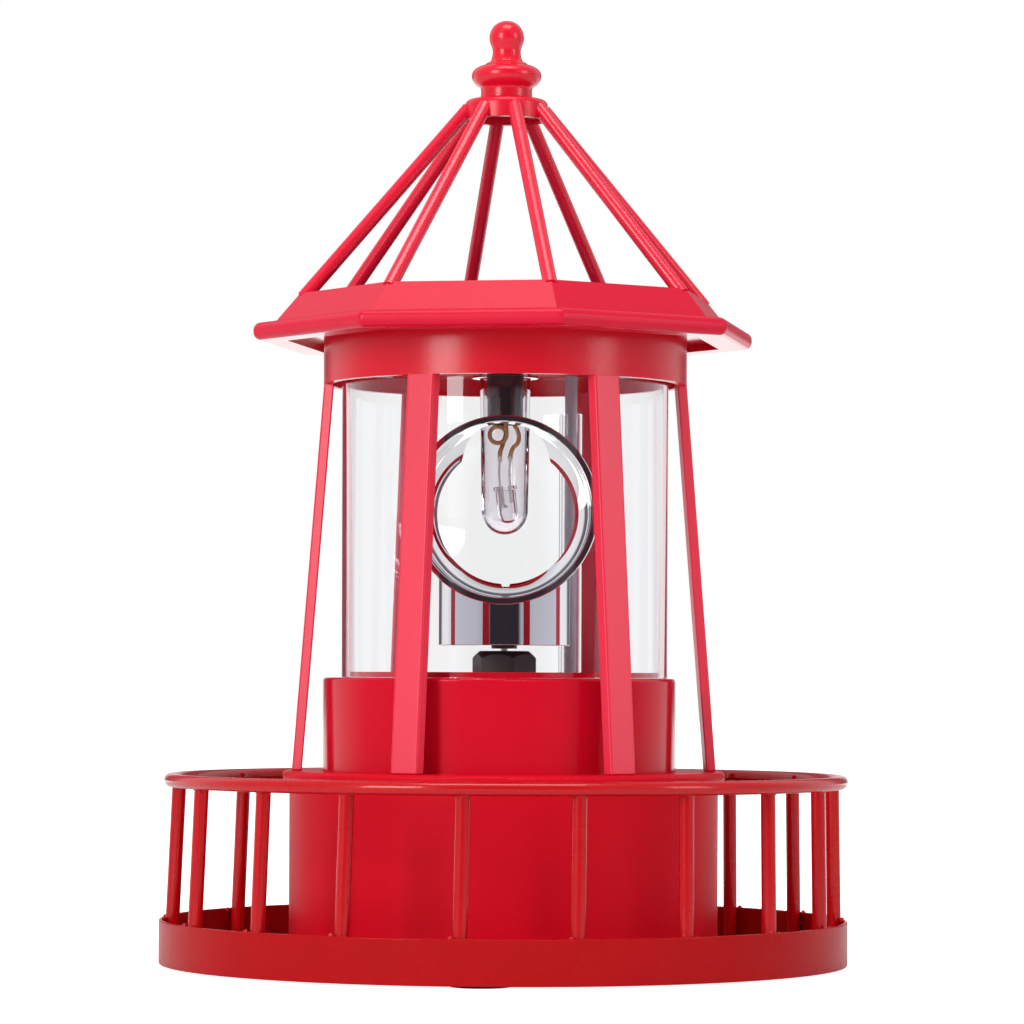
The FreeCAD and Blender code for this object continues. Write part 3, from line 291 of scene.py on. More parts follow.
def gloss_paint(name, colour, coat, specular):
    """Red gloss paint sprayed on steel."""
    paint = new_material(name, colour, 0.3, coat=coat, coat_roughness=0.07, specular=specular)
    film = use_group(paint, paint_film, Peel_Scale=600.0, Dust_Scale=60.0)
    vary(paint, colour, film.outputs["Dust"], 0.9, 1.08, 0.2, 0.34)
    use_bump(paint, film.outputs["Peel"], 0.05, 0.05 * mm)
    return paint


gallery_paint = gloss_paint("gallery_paint", (0.47, 0.003, 0.006), coat=0.42, specular=0.12)
# The hoop's copy of the gallery paint is darker in colour: painted shade on the low band, which gets less
# light. It also has less coat and less sheen.
hoop_paint_painted_shade = gloss_paint("hoop_paint_painted_shade", (0.395, 0.003, 0.005), coat=0.1, specular=0.05)


def spun(outline, steps, axis=(0, 0, 1), closed=True):
    """A shape turned on a lathe: an outline of radius and height pairs, spun once round the axis."""
    bm = bmesh.new()
    along = Vector(axis)
    out = Vector((1, 0, 0))
    verts = [bm.verts.new(out * r + along * h) for r, h in outline]
    edges = [bm.edges.new(pair) for pair in zip(verts, verts[1:])]
    if closed:
        edges.append(bm.edges.new((verts[-1], verts[0])))
    bmesh.ops.spin(bm, geom=verts + edges, cent=(0, 0, 0), axis=along, angle=2 * math.pi,
                   steps=steps, use_merge=True, use_duplicate=False)
    bmesh.ops.remove_doubles(bm, verts=bm.verts, dist=1e-7)
    bmesh.ops.recalc_face_normals(bm, faces=bm.faces)
    return bm


def piece(name, bm, material, body, cad=(), smooth=35, edge_round=0.0):
    """Turns a bmesh into a piece at the origin that rides on a body and may stand for CAD nodes."""
    mesh = bpy.data.meshes.new(name)
    bm.to_mesh(mesh)
    bm.free()
    mesh.shade_smooth()
    mesh.set_sharp_from_angle(angle=math.radians(smooth))
    mesh.materials.append(material)
    made = bpy.data.objects.new(name, mesh)
    scene.collection.objects.link(made)
    if edge_round:
        rounding = made.modifiers.new("rounded_edges", "BEVEL")
        rounding.width = edge_round
        rounding.segments = 3
        rounding.limit_method = "ANGLE"
        rounding.angle_limit = math.radians(40)
        rounding.harden_normals = True
    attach(made, body)
    if cad:
        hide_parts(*cad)
    return made


hoop = spun([(hoop_radius - hoop_wall, hoop_bottom), (hoop_radius, hoop_bottom),
             (hoop_radius, hoop_top), (hoop_radius - hoop_wall, hoop_top)], steps=180)
piece("hoop_band", hoop, hoop_paint_painted_shade, "lantern", ["fascia_hoop"], edge_round=0.32 * mm)

# The butt weld of the hoop: a low ground-down bead across the band at the back.
hoop_seam = bmesh.new()
bmesh.ops.create_uvsphere(hoop_seam, u_segments=16, v_segments=12, radius=1.0)
bmesh.ops.scale(hoop_seam, verts=hoop_seam.verts, vec=hoop_seam_half)
bmesh.ops.translate(hoop_seam, verts=hoop_seam.verts, vec=hoop_seam_place)
piece("hoop_seam", hoop_seam, gallery_paint, "lantern")

# ------------------------------ gallery floor and feet
# The floor is a flat steel ring welded inside the hoop and painted with it.
# Four soft black feet under it are all that touches the ground.


def dress(material, *names):
    """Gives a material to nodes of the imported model."""
    for name in names:
        nodes[name].data.materials[0] = material


dress(gallery_paint, "floor_plate")
foot_colour = (0.035, 0.034, 0.036)
foot_rubber = new_material("foot_rubber", foot_colour, 0.75)
tree = foot_rubber.node_tree
shader = tree.nodes["Principled BSDF"]
foot_grain = noise_node(tree, 900.0, 3.0)
tree.links.new(shaded(tree, foot_colour, foot_grain, 0.7, 1.3), shader.inputs["Base Color"])
use_bump(foot_rubber, foot_grain, 0.3, 0.1 * mm)
dress(foot_rubber, "feet")

# ------------------------------ gallery bars and their welds
# Round steel rods, cut to length and welded by hand between the hoop and the rail, so their spacing is
# uneven. Each has two small weld beads at the hoop's top edge, one under the rail and one inside it.
bar_radius = 1.75 * mm
bar_foot_radius, bar_foot_height = 82.5 * mm, 4.0 * mm
bar_head_radius, bar_head_height = 81.2 * mm, 45.0 * mm
rail_shift = Vector((0.6 * mm, 0, 0))
foot_bead_half, foot_bead_turn = Vector((0.7, 0.6, 0.75)) * mm, 1.25
foot_bead_in, foot_bead_drop, foot_bead_step = 1.0 * mm, 0.35 * mm, 0.2 * mm
under_bead_half, under_bead_out, under_bead_drop = Vector((1.95, 1.75, 0.7)) * mm, 0.3 * mm, 0.75 * mm
inner_bead_half, inner_bead_out, inner_bead_rise = Vector((1.7, 0.8, 0.9)) * mm, 0.5 * mm, 0.9 * mm
inner_bead_turn = 20
bar_angles = {"bars_front": [-27.0, -7.0, 12.0, 31.0], "bars_right": [49.5, 67.6, 92.5, 115.4],
              "bars_back": [134.0, 154.0, 175.0, 196.0, 216.5], "bars_left": [236.5, 268.5, 296.0, 315.5]}


def around(angle, radius, height=0.0):
    """The point at an angle from the front, positive towards +X."""
    a = math.radians(angle)
    return Vector((radius * math.sin(a), -radius * math.cos(a), height))


def add_rod(bm, start, end, radius, sides=24):
    """A round rod between two points."""
    run = end - start
    turn = run.to_track_quat("Z", "Y").to_matrix().to_4x4()
    bmesh.ops.create_cone(bm, cap_ends=True, segments=sides, radius1=radius, radius2=radius, depth=run.length,
                          matrix=Matrix.Translation((start + end) / 2) @ turn)


def add_blob(bm, centre, size, turn=0.0, lumpy=0.12, seed=0):
    """A small weld bead: a ball drawn out along its axes, made uneven by waves that the seed shifts."""
    made = bmesh.ops.create_icosphere(bm, subdivisions=3, radius=1.0)["verts"]
    for vert in made:
        across = math.sin(vert.co.x * 4 + seed) * math.cos(vert.co.y * 5 + seed * 1.7)
        upright = math.sin(vert.co.z * 5 + seed)
        vert.co *= 1 + lumpy * (across + upright) / 2
    bmesh.ops.scale(bm, verts=made, vec=size)
    bmesh.ops.rotate(bm, verts=made, cent=(0, 0, 0), matrix=Matrix.Rotation(math.radians(turn), 3, "Z"))
    bmesh.ops.translate(bm, verts=made, vec=centre)


for group_name, angles in bar_angles.items():
    rods, beads = bmesh.new(), bmesh.new()
    for angle in angles:
        foot = around(angle, bar_foot_radius, bar_foot_height)
        head = around(angle, bar_head_radius, bar_head_height) + rail_shift
        add_rod(rods, foot, head, bar_radius)
        for side in (-1, 1):
            bead_height = hoop_top - foot_bead_drop - foot_bead_step * side
            place = around(angle + side * foot_bead_turn, hoop_radius - foot_bead_in, bead_height)
            add_blob(beads, place, foot_bead_half, angle, seed=angle + side)
        under = head + around(angle, under_bead_out, -under_bead_drop)
        add_blob(beads, under, under_bead_half, angle, seed=angle)
        inside = head + around(angle - inner_bead_turn, inner_bead_out, inner_bead_rise)
        add_blob(beads, inside, inner_bead_half, angle, seed=angle + 2, lumpy=0.2)
    piece(group_name + "_rods", rods, gallery_paint, "lantern", [group_name])
    piece(group_name + "_welds", beads, gallery_paint, "lantern", smooth=180)

# ------------------------------ hand rail
# One round wire bent to a ring and butt-welded, painted gloss red with the rest of the gallery.
# It lies on the outer side of the bars' heads.
rail_radius, rail_wire, rail_height = 82.95 * mm, 1.65 * mm, 45.8 * mm
rail_weld_half, rail_weld_angles = Vector((2.4, 0.9, 0.8)) * mm, (143.0, 147.5)
rail_weld_in, rail_weld_rise = 1.2 * mm, 0.9 * mm
rail = bmesh.new()
upright = Matrix.Translation((rail_radius, 0, rail_height)) @ Matrix.Rotation(math.pi / 2, 4, "X")
bmesh.ops.create_circle(rail, cap_ends=False, segments=28, radius=rail_wire, matrix=upright)
bmesh.ops.spin(rail, geom=rail.verts[:] + rail.edges[:], cent=(0, 0, 0), axis=(0, 0, 1), angle=2 * math.pi,
               steps=180, use_merge=True, use_duplicate=False)
bmesh.ops.translate(rail, verts=rail.verts, vec=rail_shift)
bmesh.ops.recalc_face_normals(rail, faces=rail.faces)
piece("rail_ring", rail, gallery_paint, "lantern", ["hand_rail"], smooth=180)
rail_welds = bmesh.new()
for angle in rail_weld_angles:
    place = around(angle, rail_radius - rail_weld_in, rail_height + rail_weld_rise) + rail_shift
    add_blob(rail_welds, place, rail_weld_half, angle, seed=angle, lumpy=0.2)
piece("rail_welds", rail_welds, gallery_paint, "lantern", smooth=180)

# ------------------------------ lantern base drum
# The wide drum is moulded in red plastic with a fine spark-eroded texture. A deck with a rounded lip
# closes its top and carries the windows and the motor housing.

# Spark erosion leaves fine and coarse grain in the mould; the plastic blooms faintly in large patches.
spark_texture, spark_in, spark_out = new_group(
    "spark_texture", [("Grain Scale", 1500.0), ("Bloom Scale", 30.0)],
    [("Grain", "NodeSocketFloat"), ("Bloom", "NodeSocketFloat")])
fine = noise_node(spark_texture, spark_in.outputs["Grain Scale"], 2.0, 0.6)
coarse_scale = math_node(spark_texture, "MULTIPLY", spark_in.outputs["Grain Scale"], 0.42)
coarse = noise_node(spark_texture, coarse_scale, 1.0, 0.5)
grain = math_node(spark_texture, "MULTIPLY", math_node(spark_texture, "ADD", fine, coarse), 0.5)
bloom = noise_node(spark_texture, spark_in.outputs["Bloom Scale"], 3.0, 0.6)
spark_texture.links.new(grain, spark_out.inputs["Grain"])
spark_texture.links.new(bloom, spark_out.inputs["Bloom"])


def spark_plastic(name, colour, roughness, grain_scale, bump, specular=0.2):
    """Red moulded plastic with its spark texture; the bloom dulls and pales it slightly in patches."""
    material = new_material(name, colour, roughness, specular=specular)
    tree = material.node_tree
    texture = use_group(material, spark_texture, Grain_Scale=grain_scale)
    shader = tree.nodes["Principled BSDF"]
    tree.links.new(shaded(tree, colour, texture.outputs["Bloom"], 0.93, 1.07), shader.inputs["Base Color"])
    grain_rough = math_node(tree, "MULTIPLY", texture.outputs["Grain"], 0.1)
    bloom_rough = math_node(tree, "MULTIPLY", texture.outputs["Bloom"], 0.06)
    rough = math_node(tree, "ADD", math_node(tree, "ADD", grain_rough, bloom_rough), roughness - 0.08)
    tree.links.new(rough, shader.inputs["Roughness"])
    use_bump(material, texture.outputs["Grain"], bump, 0.06 * mm)
    return material


dress(spark_plastic("drum_plastic", (0.58, 0.003, 0.015), 0.4, 1700.0, 0.5, specular=0.06), "lantern_base")

# ------------------------------ bottom cover and its screws
# A flat black plate closes the drum from below and carries the battery, the board and the switch.
# Four zinc-plated pan-head screws hold it through the gallery floor; the lamp's other screws are like them.


def moulded(name, colour, roughness, scale=1200.0, bump=0.2):
    """Plain moulded plastic: slight grain, slight change of tone."""
    material = new_material(name, colour, roughness)
    tree = material.node_tree
    vary(material, colour, noise_node(tree, 40.0, 3.0), 0.85, 1.15, roughness - 0.05, roughness + 0.07)
    use_bump(material, noise_node(tree, scale, 2.0), bump, 0.08 * mm)
    return material


dress(moulded("cover_plastic", (0.028, 0.027, 0.03), 0.48), "bottom_cover")


def bare_metal(name, colour, roughness):
    """Plated or ground metal with faint marks."""
    material = new_material(name, colour, roughness, metallic=1.0)
    marks = noise_node(material.node_tree, 700.0, 4.0, 0.7)
    vary(material, colour, marks, 0.82, 1.1, roughness * 0.7, roughness * 1.4)
    use_bump(material, marks, 0.08, 0.05 * mm)
    return material


screw_zinc = bare_metal("screw_zinc", (0.56, 0.56, 0.57), 0.32)
dress(screw_zinc, "cover_screws", "housing_screws", "roof_screws", "finial_screw")

# ------------------------------ motor housing
# The narrower drum is moulded in the same red plastic, but from a polished mould, so it is glossy and
# mirrors the posts in front of it. A low plateau on its top locates the glass.
housing_colour = (0.57, 0.003, 0.018)
housing_gloss = new_material("housing_gloss", housing_colour, 0.14, specular=0.13)
film = use_group(housing_gloss, paint_film, Peel_Scale=90.0, Dust_Scale=25.0)
vary(housing_gloss, housing_colour, film.outputs["Dust"], 0.94, 1.06, 0.1, 0.18)
use_bump(housing_gloss, film.outputs["Peel"], 0.03, 0.1 * mm)
dress(housing_gloss, "motor_housing")

# ------------------------------ window posts and cap ring
# Six posts lean in from the deck to the cap ring. Each has a flat outer face and splayed flanks,
# moulded with draft, textured like the drum and slightly rounded at its edges.
post_plastic = spark_plastic("post_plastic", (0.7, 0.006, 0.04), 0.36, 1700.0, 0.5, specular=0.5)
first_post, post_count = -27, 6
post_foot, post_head = (52.5 * mm, 48.2 * mm), (44.83 * mm, 144.7 * mm)
post_outer, post_inner, post_depth = 6.9 * mm, 8.6 * mm, 2.45 * mm

posts = bmesh.new()
for k in range(post_count):
    out = around(first_post + 360 / post_count * k, 1)
    side = Vector((-out.y, out.x, 0))
    ends = []
    for radius, height in (post_foot, post_head):
        corners = [(radius, 0.5 * post_outer), (radius, -0.5 * post_outer),
                   (radius - post_depth, -0.5 * post_inner), (radius - post_depth, 0.5 * post_inner)]
        ring = [posts.verts.new(out * r + side * s + Vector((0, 0, height))) for r, s in corners]
        ends.append([posts.edges.new(pair) for pair in zip(ring, ring[1:] + ring[:1])])
    bmesh.ops.bridge_loops(posts, edges=ends[0] + ends[1])
    bmesh.ops.holes_fill(posts, edges=ends[0] + ends[1], sides=4)
bmesh.ops.recalc_face_normals(posts, faces=posts.faces)
piece("window_post_set", posts, post_plastic, "lantern", ["window_posts"],
      edge_round=0.45 * mm)

dress(spark_plastic("cap_plastic", (0.6, 0.003, 0.017), 0.25, 1700.0, 0.55, specular=0.4), "cap_ring")

# ------------------------------ lantern glass
# A clear tube stands on the housing inside the posts. It is smooth and thin, so it shows as darker
# edges, thin bright lines and faint mirrored shapes.
glass_radius, glass_wall = 40.5 * mm, 1.2 * mm
glass_foot, glass_top = 71.2 * mm, 148.0 * mm


def clear_material(name, colour, roughness, index):
    """Clear glass or plastic. Shadows, matt light and mirrored rays pass straight through it, so that only
    what is seen through it is bent."""
    material = bpy.data.materials.new(name)
    material.use_nodes = True
    tree = material.node_tree
    shader = tree.nodes["Principled BSDF"]
    shader.inputs["Base Color"].default_value = (*colour, 1)
    shader.inputs["Roughness"].default_value = roughness
    shader.inputs["IOR"].default_value = index
    shader.inputs["Transmission Weight"].default_value = 1.0
    out = tree.nodes["Material Output"]
    path = tree.nodes.new("ShaderNodeLightPath")
    through = tree.nodes.new("ShaderNodeBsdfTransparent")
    through.inputs["Color"].default_value = (*[0.5 + 0.5 * c for c in colour], 1)
    pick = tree.nodes.new("ShaderNodeMixShader")
    unseen = math_node(tree, "MAXIMUM", path.outputs["Is Shadow Ray"], path.outputs["Is Diffuse Ray"])
    mirrored = math_node(tree, "SUBTRACT", path.outputs["Is Glossy Ray"], path.outputs["Is Transmission Ray"])
    straight = math_node(tree, "MAXIMUM", unseen, mirrored)
    tree.links.new(straight, pick.inputs[0])
    tree.links.new(shader.outputs[0], pick.inputs[1])
    tree.links.new(through.outputs[0], pick.inputs[2])
    tree.links.new(pick.outputs[0], out.inputs["Surface"])
    use_bump(material, noise_node(tree, 120.0, 2.0), 0.02, 0.2 * mm)
    return material


window_glass = clear_material("window_glass", (0.985, 0.99, 0.992), 0.0, 1.45)
tube = spun([(glass_radius - glass_wall, glass_foot), (glass_radius, glass_foot),
             (glass_radius, glass_top), (glass_radius - glass_wall, glass_top)], steps=160)
piece("glass_tube", tube, window_glass, "lantern", ["lantern_glass"], edge_round=0.25 * mm)

# ------------------------------ roof skirt and soffit
# An octagonal skirt with a rounded lip, moulded with the texture on its sloping faces and polished below.
# The flat soffit closes it from below; three screws from the lamp deck hold it.
roof_plastic = spark_plastic("roof_plastic", (0.61, 0.004, 0.03), 0.34, 1700.0, 0.45)
tree = roof_plastic.node_tree
shader = tree.nodes["Principled BSDF"]
faces_down = math_node(tree, "LESS_THAN", axes(tree, "Normal")["Z"], -0.8)
textured = shader.inputs["Roughness"].links[0].from_socket
polished = math_node(tree, "MULTIPLY", faces_down, 0.24)
tree.links.new(math_node(tree, "SUBTRACT", textured, polished), shader.inputs["Roughness"])
dress(roof_plastic, "roof_skirt")
dress(spark_plastic("soffit_plastic", (0.66, 0.004, 0.02), 0.09, 2000.0, 0.0, specular=0.8), "roof_soffit")

# ------------------------------ rafters and hub
# Eight round rafters run straight from the skirt's corners to the side of a small round hub.
# They are moulded in one with the roof, so they grow out of it without a joint.
rafter_radius = 1.75 * mm
first_rafter, rafter_count = 12, 8
rafter_foot_radius, rafter_foot_height = 49.8 * mm, 165.5 * mm
hub_radius, rafter_head_height = 10.3 * mm, 211.2 * mm
sunk_foot, sunk_head = 1.6 * mm, 1.2 * mm
rafters = bmesh.new()
for k in range(rafter_count):
    angle = first_rafter + 360 / rafter_count * k
    foot = around(angle, rafter_foot_radius, rafter_foot_height)
    head = around(angle, hub_radius, rafter_head_height)
    run = (head - foot).normalized()
    add_rod(rafters, foot - run * sunk_foot, head + run * sunk_head, rafter_radius, sides=32)
rafter_plastic = spark_plastic("rafter_plastic", (0.7, 0.004, 0.03), 0.25, 2000.0, 0.1, specular=0.55)
piece("rafter_set", rafters, rafter_plastic, "lantern", ["roof_rafters"])
dress(spark_plastic("hub_plastic", (0.68, 0.004, 0.024), 0.28, 2000.0, 0.12, specular=0.3), "roof_hub")

# ------------------------------ finial
# A small turned-looking finial: neck, rounded disc, short waist and ball, moulded in one and screwed
# to the hub from below. Its forms run into each other in soft coves.
finial_plastic = spark_plastic("finial_plastic", (0.68, 0.004, 0.024), 0.24, 2000.0, 0.05, specular=0.4)
finial_foot, finial_bore, bore_top = 214.5, 1.25, 223.5
finial_line = [(finial_bore, finial_foot), (6.75, finial_foot), (6.45, 214.9), (6.32, 215.9), (6.3, 217.0),
               (6.42, 217.5), (6.95, 217.85), (7.6, 218.25), (8.25, 218.95), (8.62, 219.8), (8.68, 220.6),
               (8.5, 221.35), (8.0, 222.0), (7.2, 222.55), (6.2, 222.95), (5.3, 223.15), (5.15, 223.45),
               (4.8, 223.75), (4.15, 223.85), (3.95, 224.15), (3.68, 224.9), (3.52, 225.7), (3.46, 226.4),
               (3.5, 227.0), (3.68, 227.6), (3.95, 228.2), (4.17, 228.8), (4.3, 229.5), (4.3, 230.2),
               (4.18, 230.95), (3.9, 231.75), (3.48, 232.5), (2.9, 233.15), (2.1, 233.7), (1.15, 234.05),
               (0.0, 234.15), (0.0, bore_top), (finial_bore, bore_top)]
finial_form = spun([(radius * mm, height * mm) for radius, height in finial_line], steps=72)
turned = piece("finial_turned", finial_form, finial_plastic, "lantern", ["finial"], smooth=50)
smoothing = turned.modifiers.new("soft_coves", "SUBSURF")
smoothing.levels = smoothing.render_levels = 1

# ------------------------------ panel tray and solar panel
# A black tray under the open roof cage holds a dark panel: thin silicon cells in blue-black resin,
# joined by fine bright bus lines.
dress(moulded("tray_plastic", (0.03, 0.029, 0.031), 0.5), "panel_tray")
cell_colour = (0.012, 0.018, 0.06)
panel_cells = new_material("panel_cells", cell_colour, 0.16, coat=0.6, coat_roughness=0.05)
tree = panel_cells.node_tree
shader = tree.nodes["Principled BSDF"]
panel_axes = axes(tree)


def line_mask(tree, value, pitch, width):
    """1 on evenly spaced thin lines along an axis, 0 between them. The shift keeps the value above zero."""
    shifted = math_node(tree, "ADD", value, pitch * 50)
    share = math_node(tree, "MODULO", shifted, pitch)
    return math_node(tree, "LESS_THAN", share, width)


bus = line_mask(tree, panel_axes["X"], pitch=9.6 * mm, width=0.5 * mm)
fingers = line_mask(tree, panel_axes["Y"], pitch=1.6 * mm, width=0.12 * mm)
lines = math_node(tree, "MAXIMUM", bus, math_node(tree, "MULTIPLY", fingers, 0.45))
tree.links.new(colour_mix(tree, lines, cell_colour, (0.45, 0.46, 0.47)), shader.inputs["Base Color"])
tree.links.new(spread(tree, lines, 0.16, 0.4), shader.inputs["Roughness"])
dress(panel_cells, "solar_panel")

# ------------------------------ lamp deck and socket
# A red disc in the cap ring carries the lamp. The black socket hangs from it: a round flange, a
# collar and a plain stem that the lamp's wires come out of.
dress(spark_plastic("deck_plastic", (0.6, 0.004, 0.02), 0.46, 1500.0, 0.2), "lamp_deck")
dress(moulded("socket_plastic", (0.022, 0.02, 0.024), 0.26, bump=0.1), "lamp_socket")

# ------------------------------ lamp sleeve
# A clear test-tube sleeve of moulded plastic with a flange at its mouth, pushed over the socket's collar.
# It tapers slightly and has a round closed end.
sleeve_clear = clear_material("sleeve_clear", (0.92, 0.895, 0.925), 0.0, 1.49)
sleeve_top, sleeve_end = 146.4 * mm, 112.45 * mm
outer_top, outer_end, sleeve_wall = 6.3 * mm, 5.75 * mm, 0.7 * mm
sleeve_flange, sleeve_flange_depth = 8.2 * mm, 1.0 * mm


def test_tube(top_radius, end_radius):
    """The outline of a test tube from its top edge down to the middle of its round end."""
    turn_steps = 10
    line = [(top_radius, sleeve_top), (end_radius, sleeve_end)]
    for k in range(1, turn_steps):
        a = math.pi / 2 * k / turn_steps
        line.append((end_radius * math.cos(a), sleeve_end - end_radius * math.sin(a)))
    line.append((0.0, sleeve_end - end_radius))
    return line


outside = test_tube(outer_top, outer_end)
inside = test_tube(outer_top - sleeve_wall, outer_end - sleeve_wall)
flange_foot = sleeve_top - sleeve_flange_depth
flange = [(sleeve_flange, sleeve_top), (sleeve_flange, flange_foot), (outer_top, flange_foot)]
sleeve = spun(list(reversed(inside)) + flange + outside[1:], steps=96, closed=False)
piece("sleeve_tube", sleeve, sleeve_clear, "lantern", ["lamp_sleeve"])

# ------------------------------ light-emitting diode
# A clear 5 mm diode hangs dome down on its two stiff leads, slightly out of true. In its epoxy the
# lead frame shows: a post with a cup for the chip, and an anvil beside it.
lamp_epoxy = clear_material("lamp_epoxy", (0.95, 0.93, 0.94), 0.05, 1.5)
led_top, led_radius, dome_rise = 118.7 * mm, 2.5 * mm, 6.7 * mm
led_flange, led_flange_depth = 2.9 * mm, 1.0 * mm
led_lean, lead_half, dome_steps = -6, 1.27 * mm, 10
dome_centre, led_flange_foot = led_top - dome_rise, led_top - led_flange_depth
profile = [(0.0, led_top), (led_flange, led_top), (led_flange, led_flange_foot),
           (led_radius, led_flange_foot)]
for k in range(dome_steps):
    a = math.pi / 2 * k / dome_steps
    profile.append((led_radius * math.cos(a), dome_centre - led_radius * math.sin(a)))
profile.append((0.0, dome_centre - led_radius))
led_tilt = (Matrix.Translation((0, 0, led_top)) @ Matrix.Rotation(math.radians(led_lean), 4, "Y")
            @ Matrix.Translation((0, 0, -led_top)))
diode = spun(profile, steps=64, closed=False)
bmesh.ops.transform(diode, matrix=led_tilt, verts=diode.verts)
piece("diode_body", diode, lamp_epoxy, "lantern", ["led"], edge_round=0.12 * mm)

# The lead frame: two strips of sheet, the wider one with the cup at its side.
strip_place, strip_sheet = 0.62 * lead_half, 0.45 * mm
cup_mouth, cup_foot, cup_depth = 0.75 * mm, 0.45 * mm, 0.7 * mm
cup_place = Matrix.Translation((-0.55 * mm, 0, led_top - 4.9 * mm))
tinned = bare_metal("tinned_metal", (0.8, 0.79, 0.78), 0.45)
lead_frame = bmesh.new()
for side, width, length in ((-1, 0.9 * mm, 4.6 * mm), (1, 0.55 * mm, 4.2 * mm)):
    strip = bmesh.ops.create_cube(lead_frame, size=1.0)["verts"]
    bmesh.ops.scale(lead_frame, verts=strip, vec=(width, strip_sheet, length))
    bmesh.ops.translate(lead_frame, verts=strip, vec=(side * strip_place, 0, led_top - length / 2))
bmesh.ops.create_cone(lead_frame, cap_ends=True, segments=20, radius1=cup_mouth, radius2=cup_foot,
                      depth=cup_depth, matrix=cup_place)
bmesh.ops.transform(lead_frame, matrix=led_tilt, verts=lead_frame.verts)
piece("diode_frame", lead_frame, tinned, "lantern")

# The leads are slightly bent, and each ends in a drop of solder that joins its wire.
lead_radius, lead_sunk, lead_end = 0.27 * mm, 0.4 * mm, 126.3 * mm
bend_shift, bend_ball = Vector((-0.2, 0.1, 3.4)) * mm, 0.29 * mm
solder_half, solder_drop = Vector((0.6, 0.55, 1.1)) * mm, Vector((0, 0, 0.5)) * mm
leads = bmesh.new()
for side in (-1, 1):
    start = led_tilt @ Vector((side * lead_half, 0, led_top - lead_sunk))
    bend = Vector((side * lead_half, 0, led_top)) + bend_shift
    end = Vector((side * lead_half, 0, lead_end))
    add_rod(leads, start, bend, lead_radius, sides=12)
    add_rod(leads, bend, end, lead_radius, sides=12)
    bmesh.ops.create_icosphere(leads, subdivisions=2, radius=bend_ball, matrix=Matrix.Translation(bend))
    add_blob(leads, end - solder_drop, solder_half, seed=side, lumpy=0.2)
piece("diode_leads", leads, tinned, "lantern", ["led_leads"])

# ------------------------------ lamp wires
# Two thin insulated wires, brown enamel over copper, come down through the socket. The left one makes
# a loop above the diode and the right one swings out before both are soldered to the leads.
wire_amber = moulded("wire_amber", (0.6, 0.31, 0.1), 0.24, scale=1500.0, bump=0.05)
wire_radius = 0.55 * mm


def wire(name, points, radius, material, body, cad=()):
    """A round wire made a mesh; its points, in millimetres, pull a smooth spline towards them."""
    curve = bpy.data.curves.new(name, "CURVE")
    curve.dimensions = "3D"
    spline = curve.splines.new("NURBS")
    spline.points.add(len(points) - 1)
    for point, place in zip(spline.points, points):
        point.co = (*[v * mm for v in place], 1)
    spline.order_u = 3
    spline.use_endpoint_u = True
    curve.bevel_depth = radius
    curve.bevel_resolution = 6
    curve.resolution_u = 12
    curve.use_fill_caps = True
    made = bpy.data.objects.new(name, curve)
    scene.collection.objects.link(made)
    mesh = bpy.data.meshes.new_from_object(made.evaluated_get(bpy.context.evaluated_depsgraph_get()))
    bpy.data.objects.remove(made)
    mesh.materials.clear()
    mesh.materials.append(material)
    mesh.shade_smooth()
    tube = bpy.data.objects.new(name, mesh)
    scene.collection.objects.link(tube)
    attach(tube, body)
    if cad:
        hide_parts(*cad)


cable_angle, cable_reach, lead_x = 151, 35, lead_half / mm
cable_x, cable_y = around(cable_angle, cable_reach).xy
left_wire = [(cable_x - 0.8, cable_y - 2.2, 151.4), (7, 12, 151.6), (-1.0, 2.2, 151.4), (-0.4, -0.8, 146.2),
             (0.0, -1.2, 135.0)]
loop_x, loop_z, loop_r = -1.75, 131.5, 2.25
loop_start, loop_step, loop_front, loop_pitch = 20, 45, -1.2, 0.3
for k in range(9):
    a = math.radians(loop_start - loop_step * k)
    depth = loop_front + loop_pitch * k
    left_wire.append((loop_x + loop_r * math.cos(a), depth, loop_z + loop_r * math.sin(a)))
left_wire += [(-0.3, 1.2, 130.0), (-0.8, 1.1, 128.4), (-lead_x, 0.0, 127.2), (-lead_x, 0.0, 126.0)]
right_wire = [(cable_x + 0.8, cable_y - 2.4, 151.4), (9, 11, 151.7), (1.7, 2.2, 151.4), (1.4, 0.4, 146.2),
              (1.3, 0.6, 136.0), (2.2, 0.8, 134.2), (3.5, 0.8, 132.0), (3.4, 0.8, 129.4), (1.6, 0.4, 128.2),
              (lead_x, 0.0, 126.0)]
wire("lamp_wire_left", left_wire, wire_radius, wire_amber, "lantern", ["lamp_wires"])
wire("lamp_wire_right", right_wire, wire_radius, wire_amber, "lantern")

# ------------------------------ cable tube and riser cable
# A clear extruded tube stands on the housing behind the reflector. The grey jacketed cable runs up in it
# from the circuit board to the lamp deck.
tube_clear = clear_material("tube_clear", (0.97, 0.972, 0.975), 0.0, 1.49)
guide_bore, guide_radius, guide_foot, guide_top = 2.3 * mm, 3.0 * mm, 72.6 * mm, 138.6 * mm
guide = spun([(guide_bore, guide_foot), (guide_radius, guide_foot), (guide_radius, guide_top),
              (guide_bore, guide_top)], steps=48)
bmesh.ops.translate(guide, verts=guide.verts, vec=(cable_x * mm, cable_y * mm, 0))
piece("guide_tube", guide, tube_clear, "lantern", ["cable_tube"], edge_round=0.3 * mm)
dress(moulded("cable_grey", (0.33, 0.3, 0.36), 0.2, scale=900.0, bump=0.12), "riser_cable")

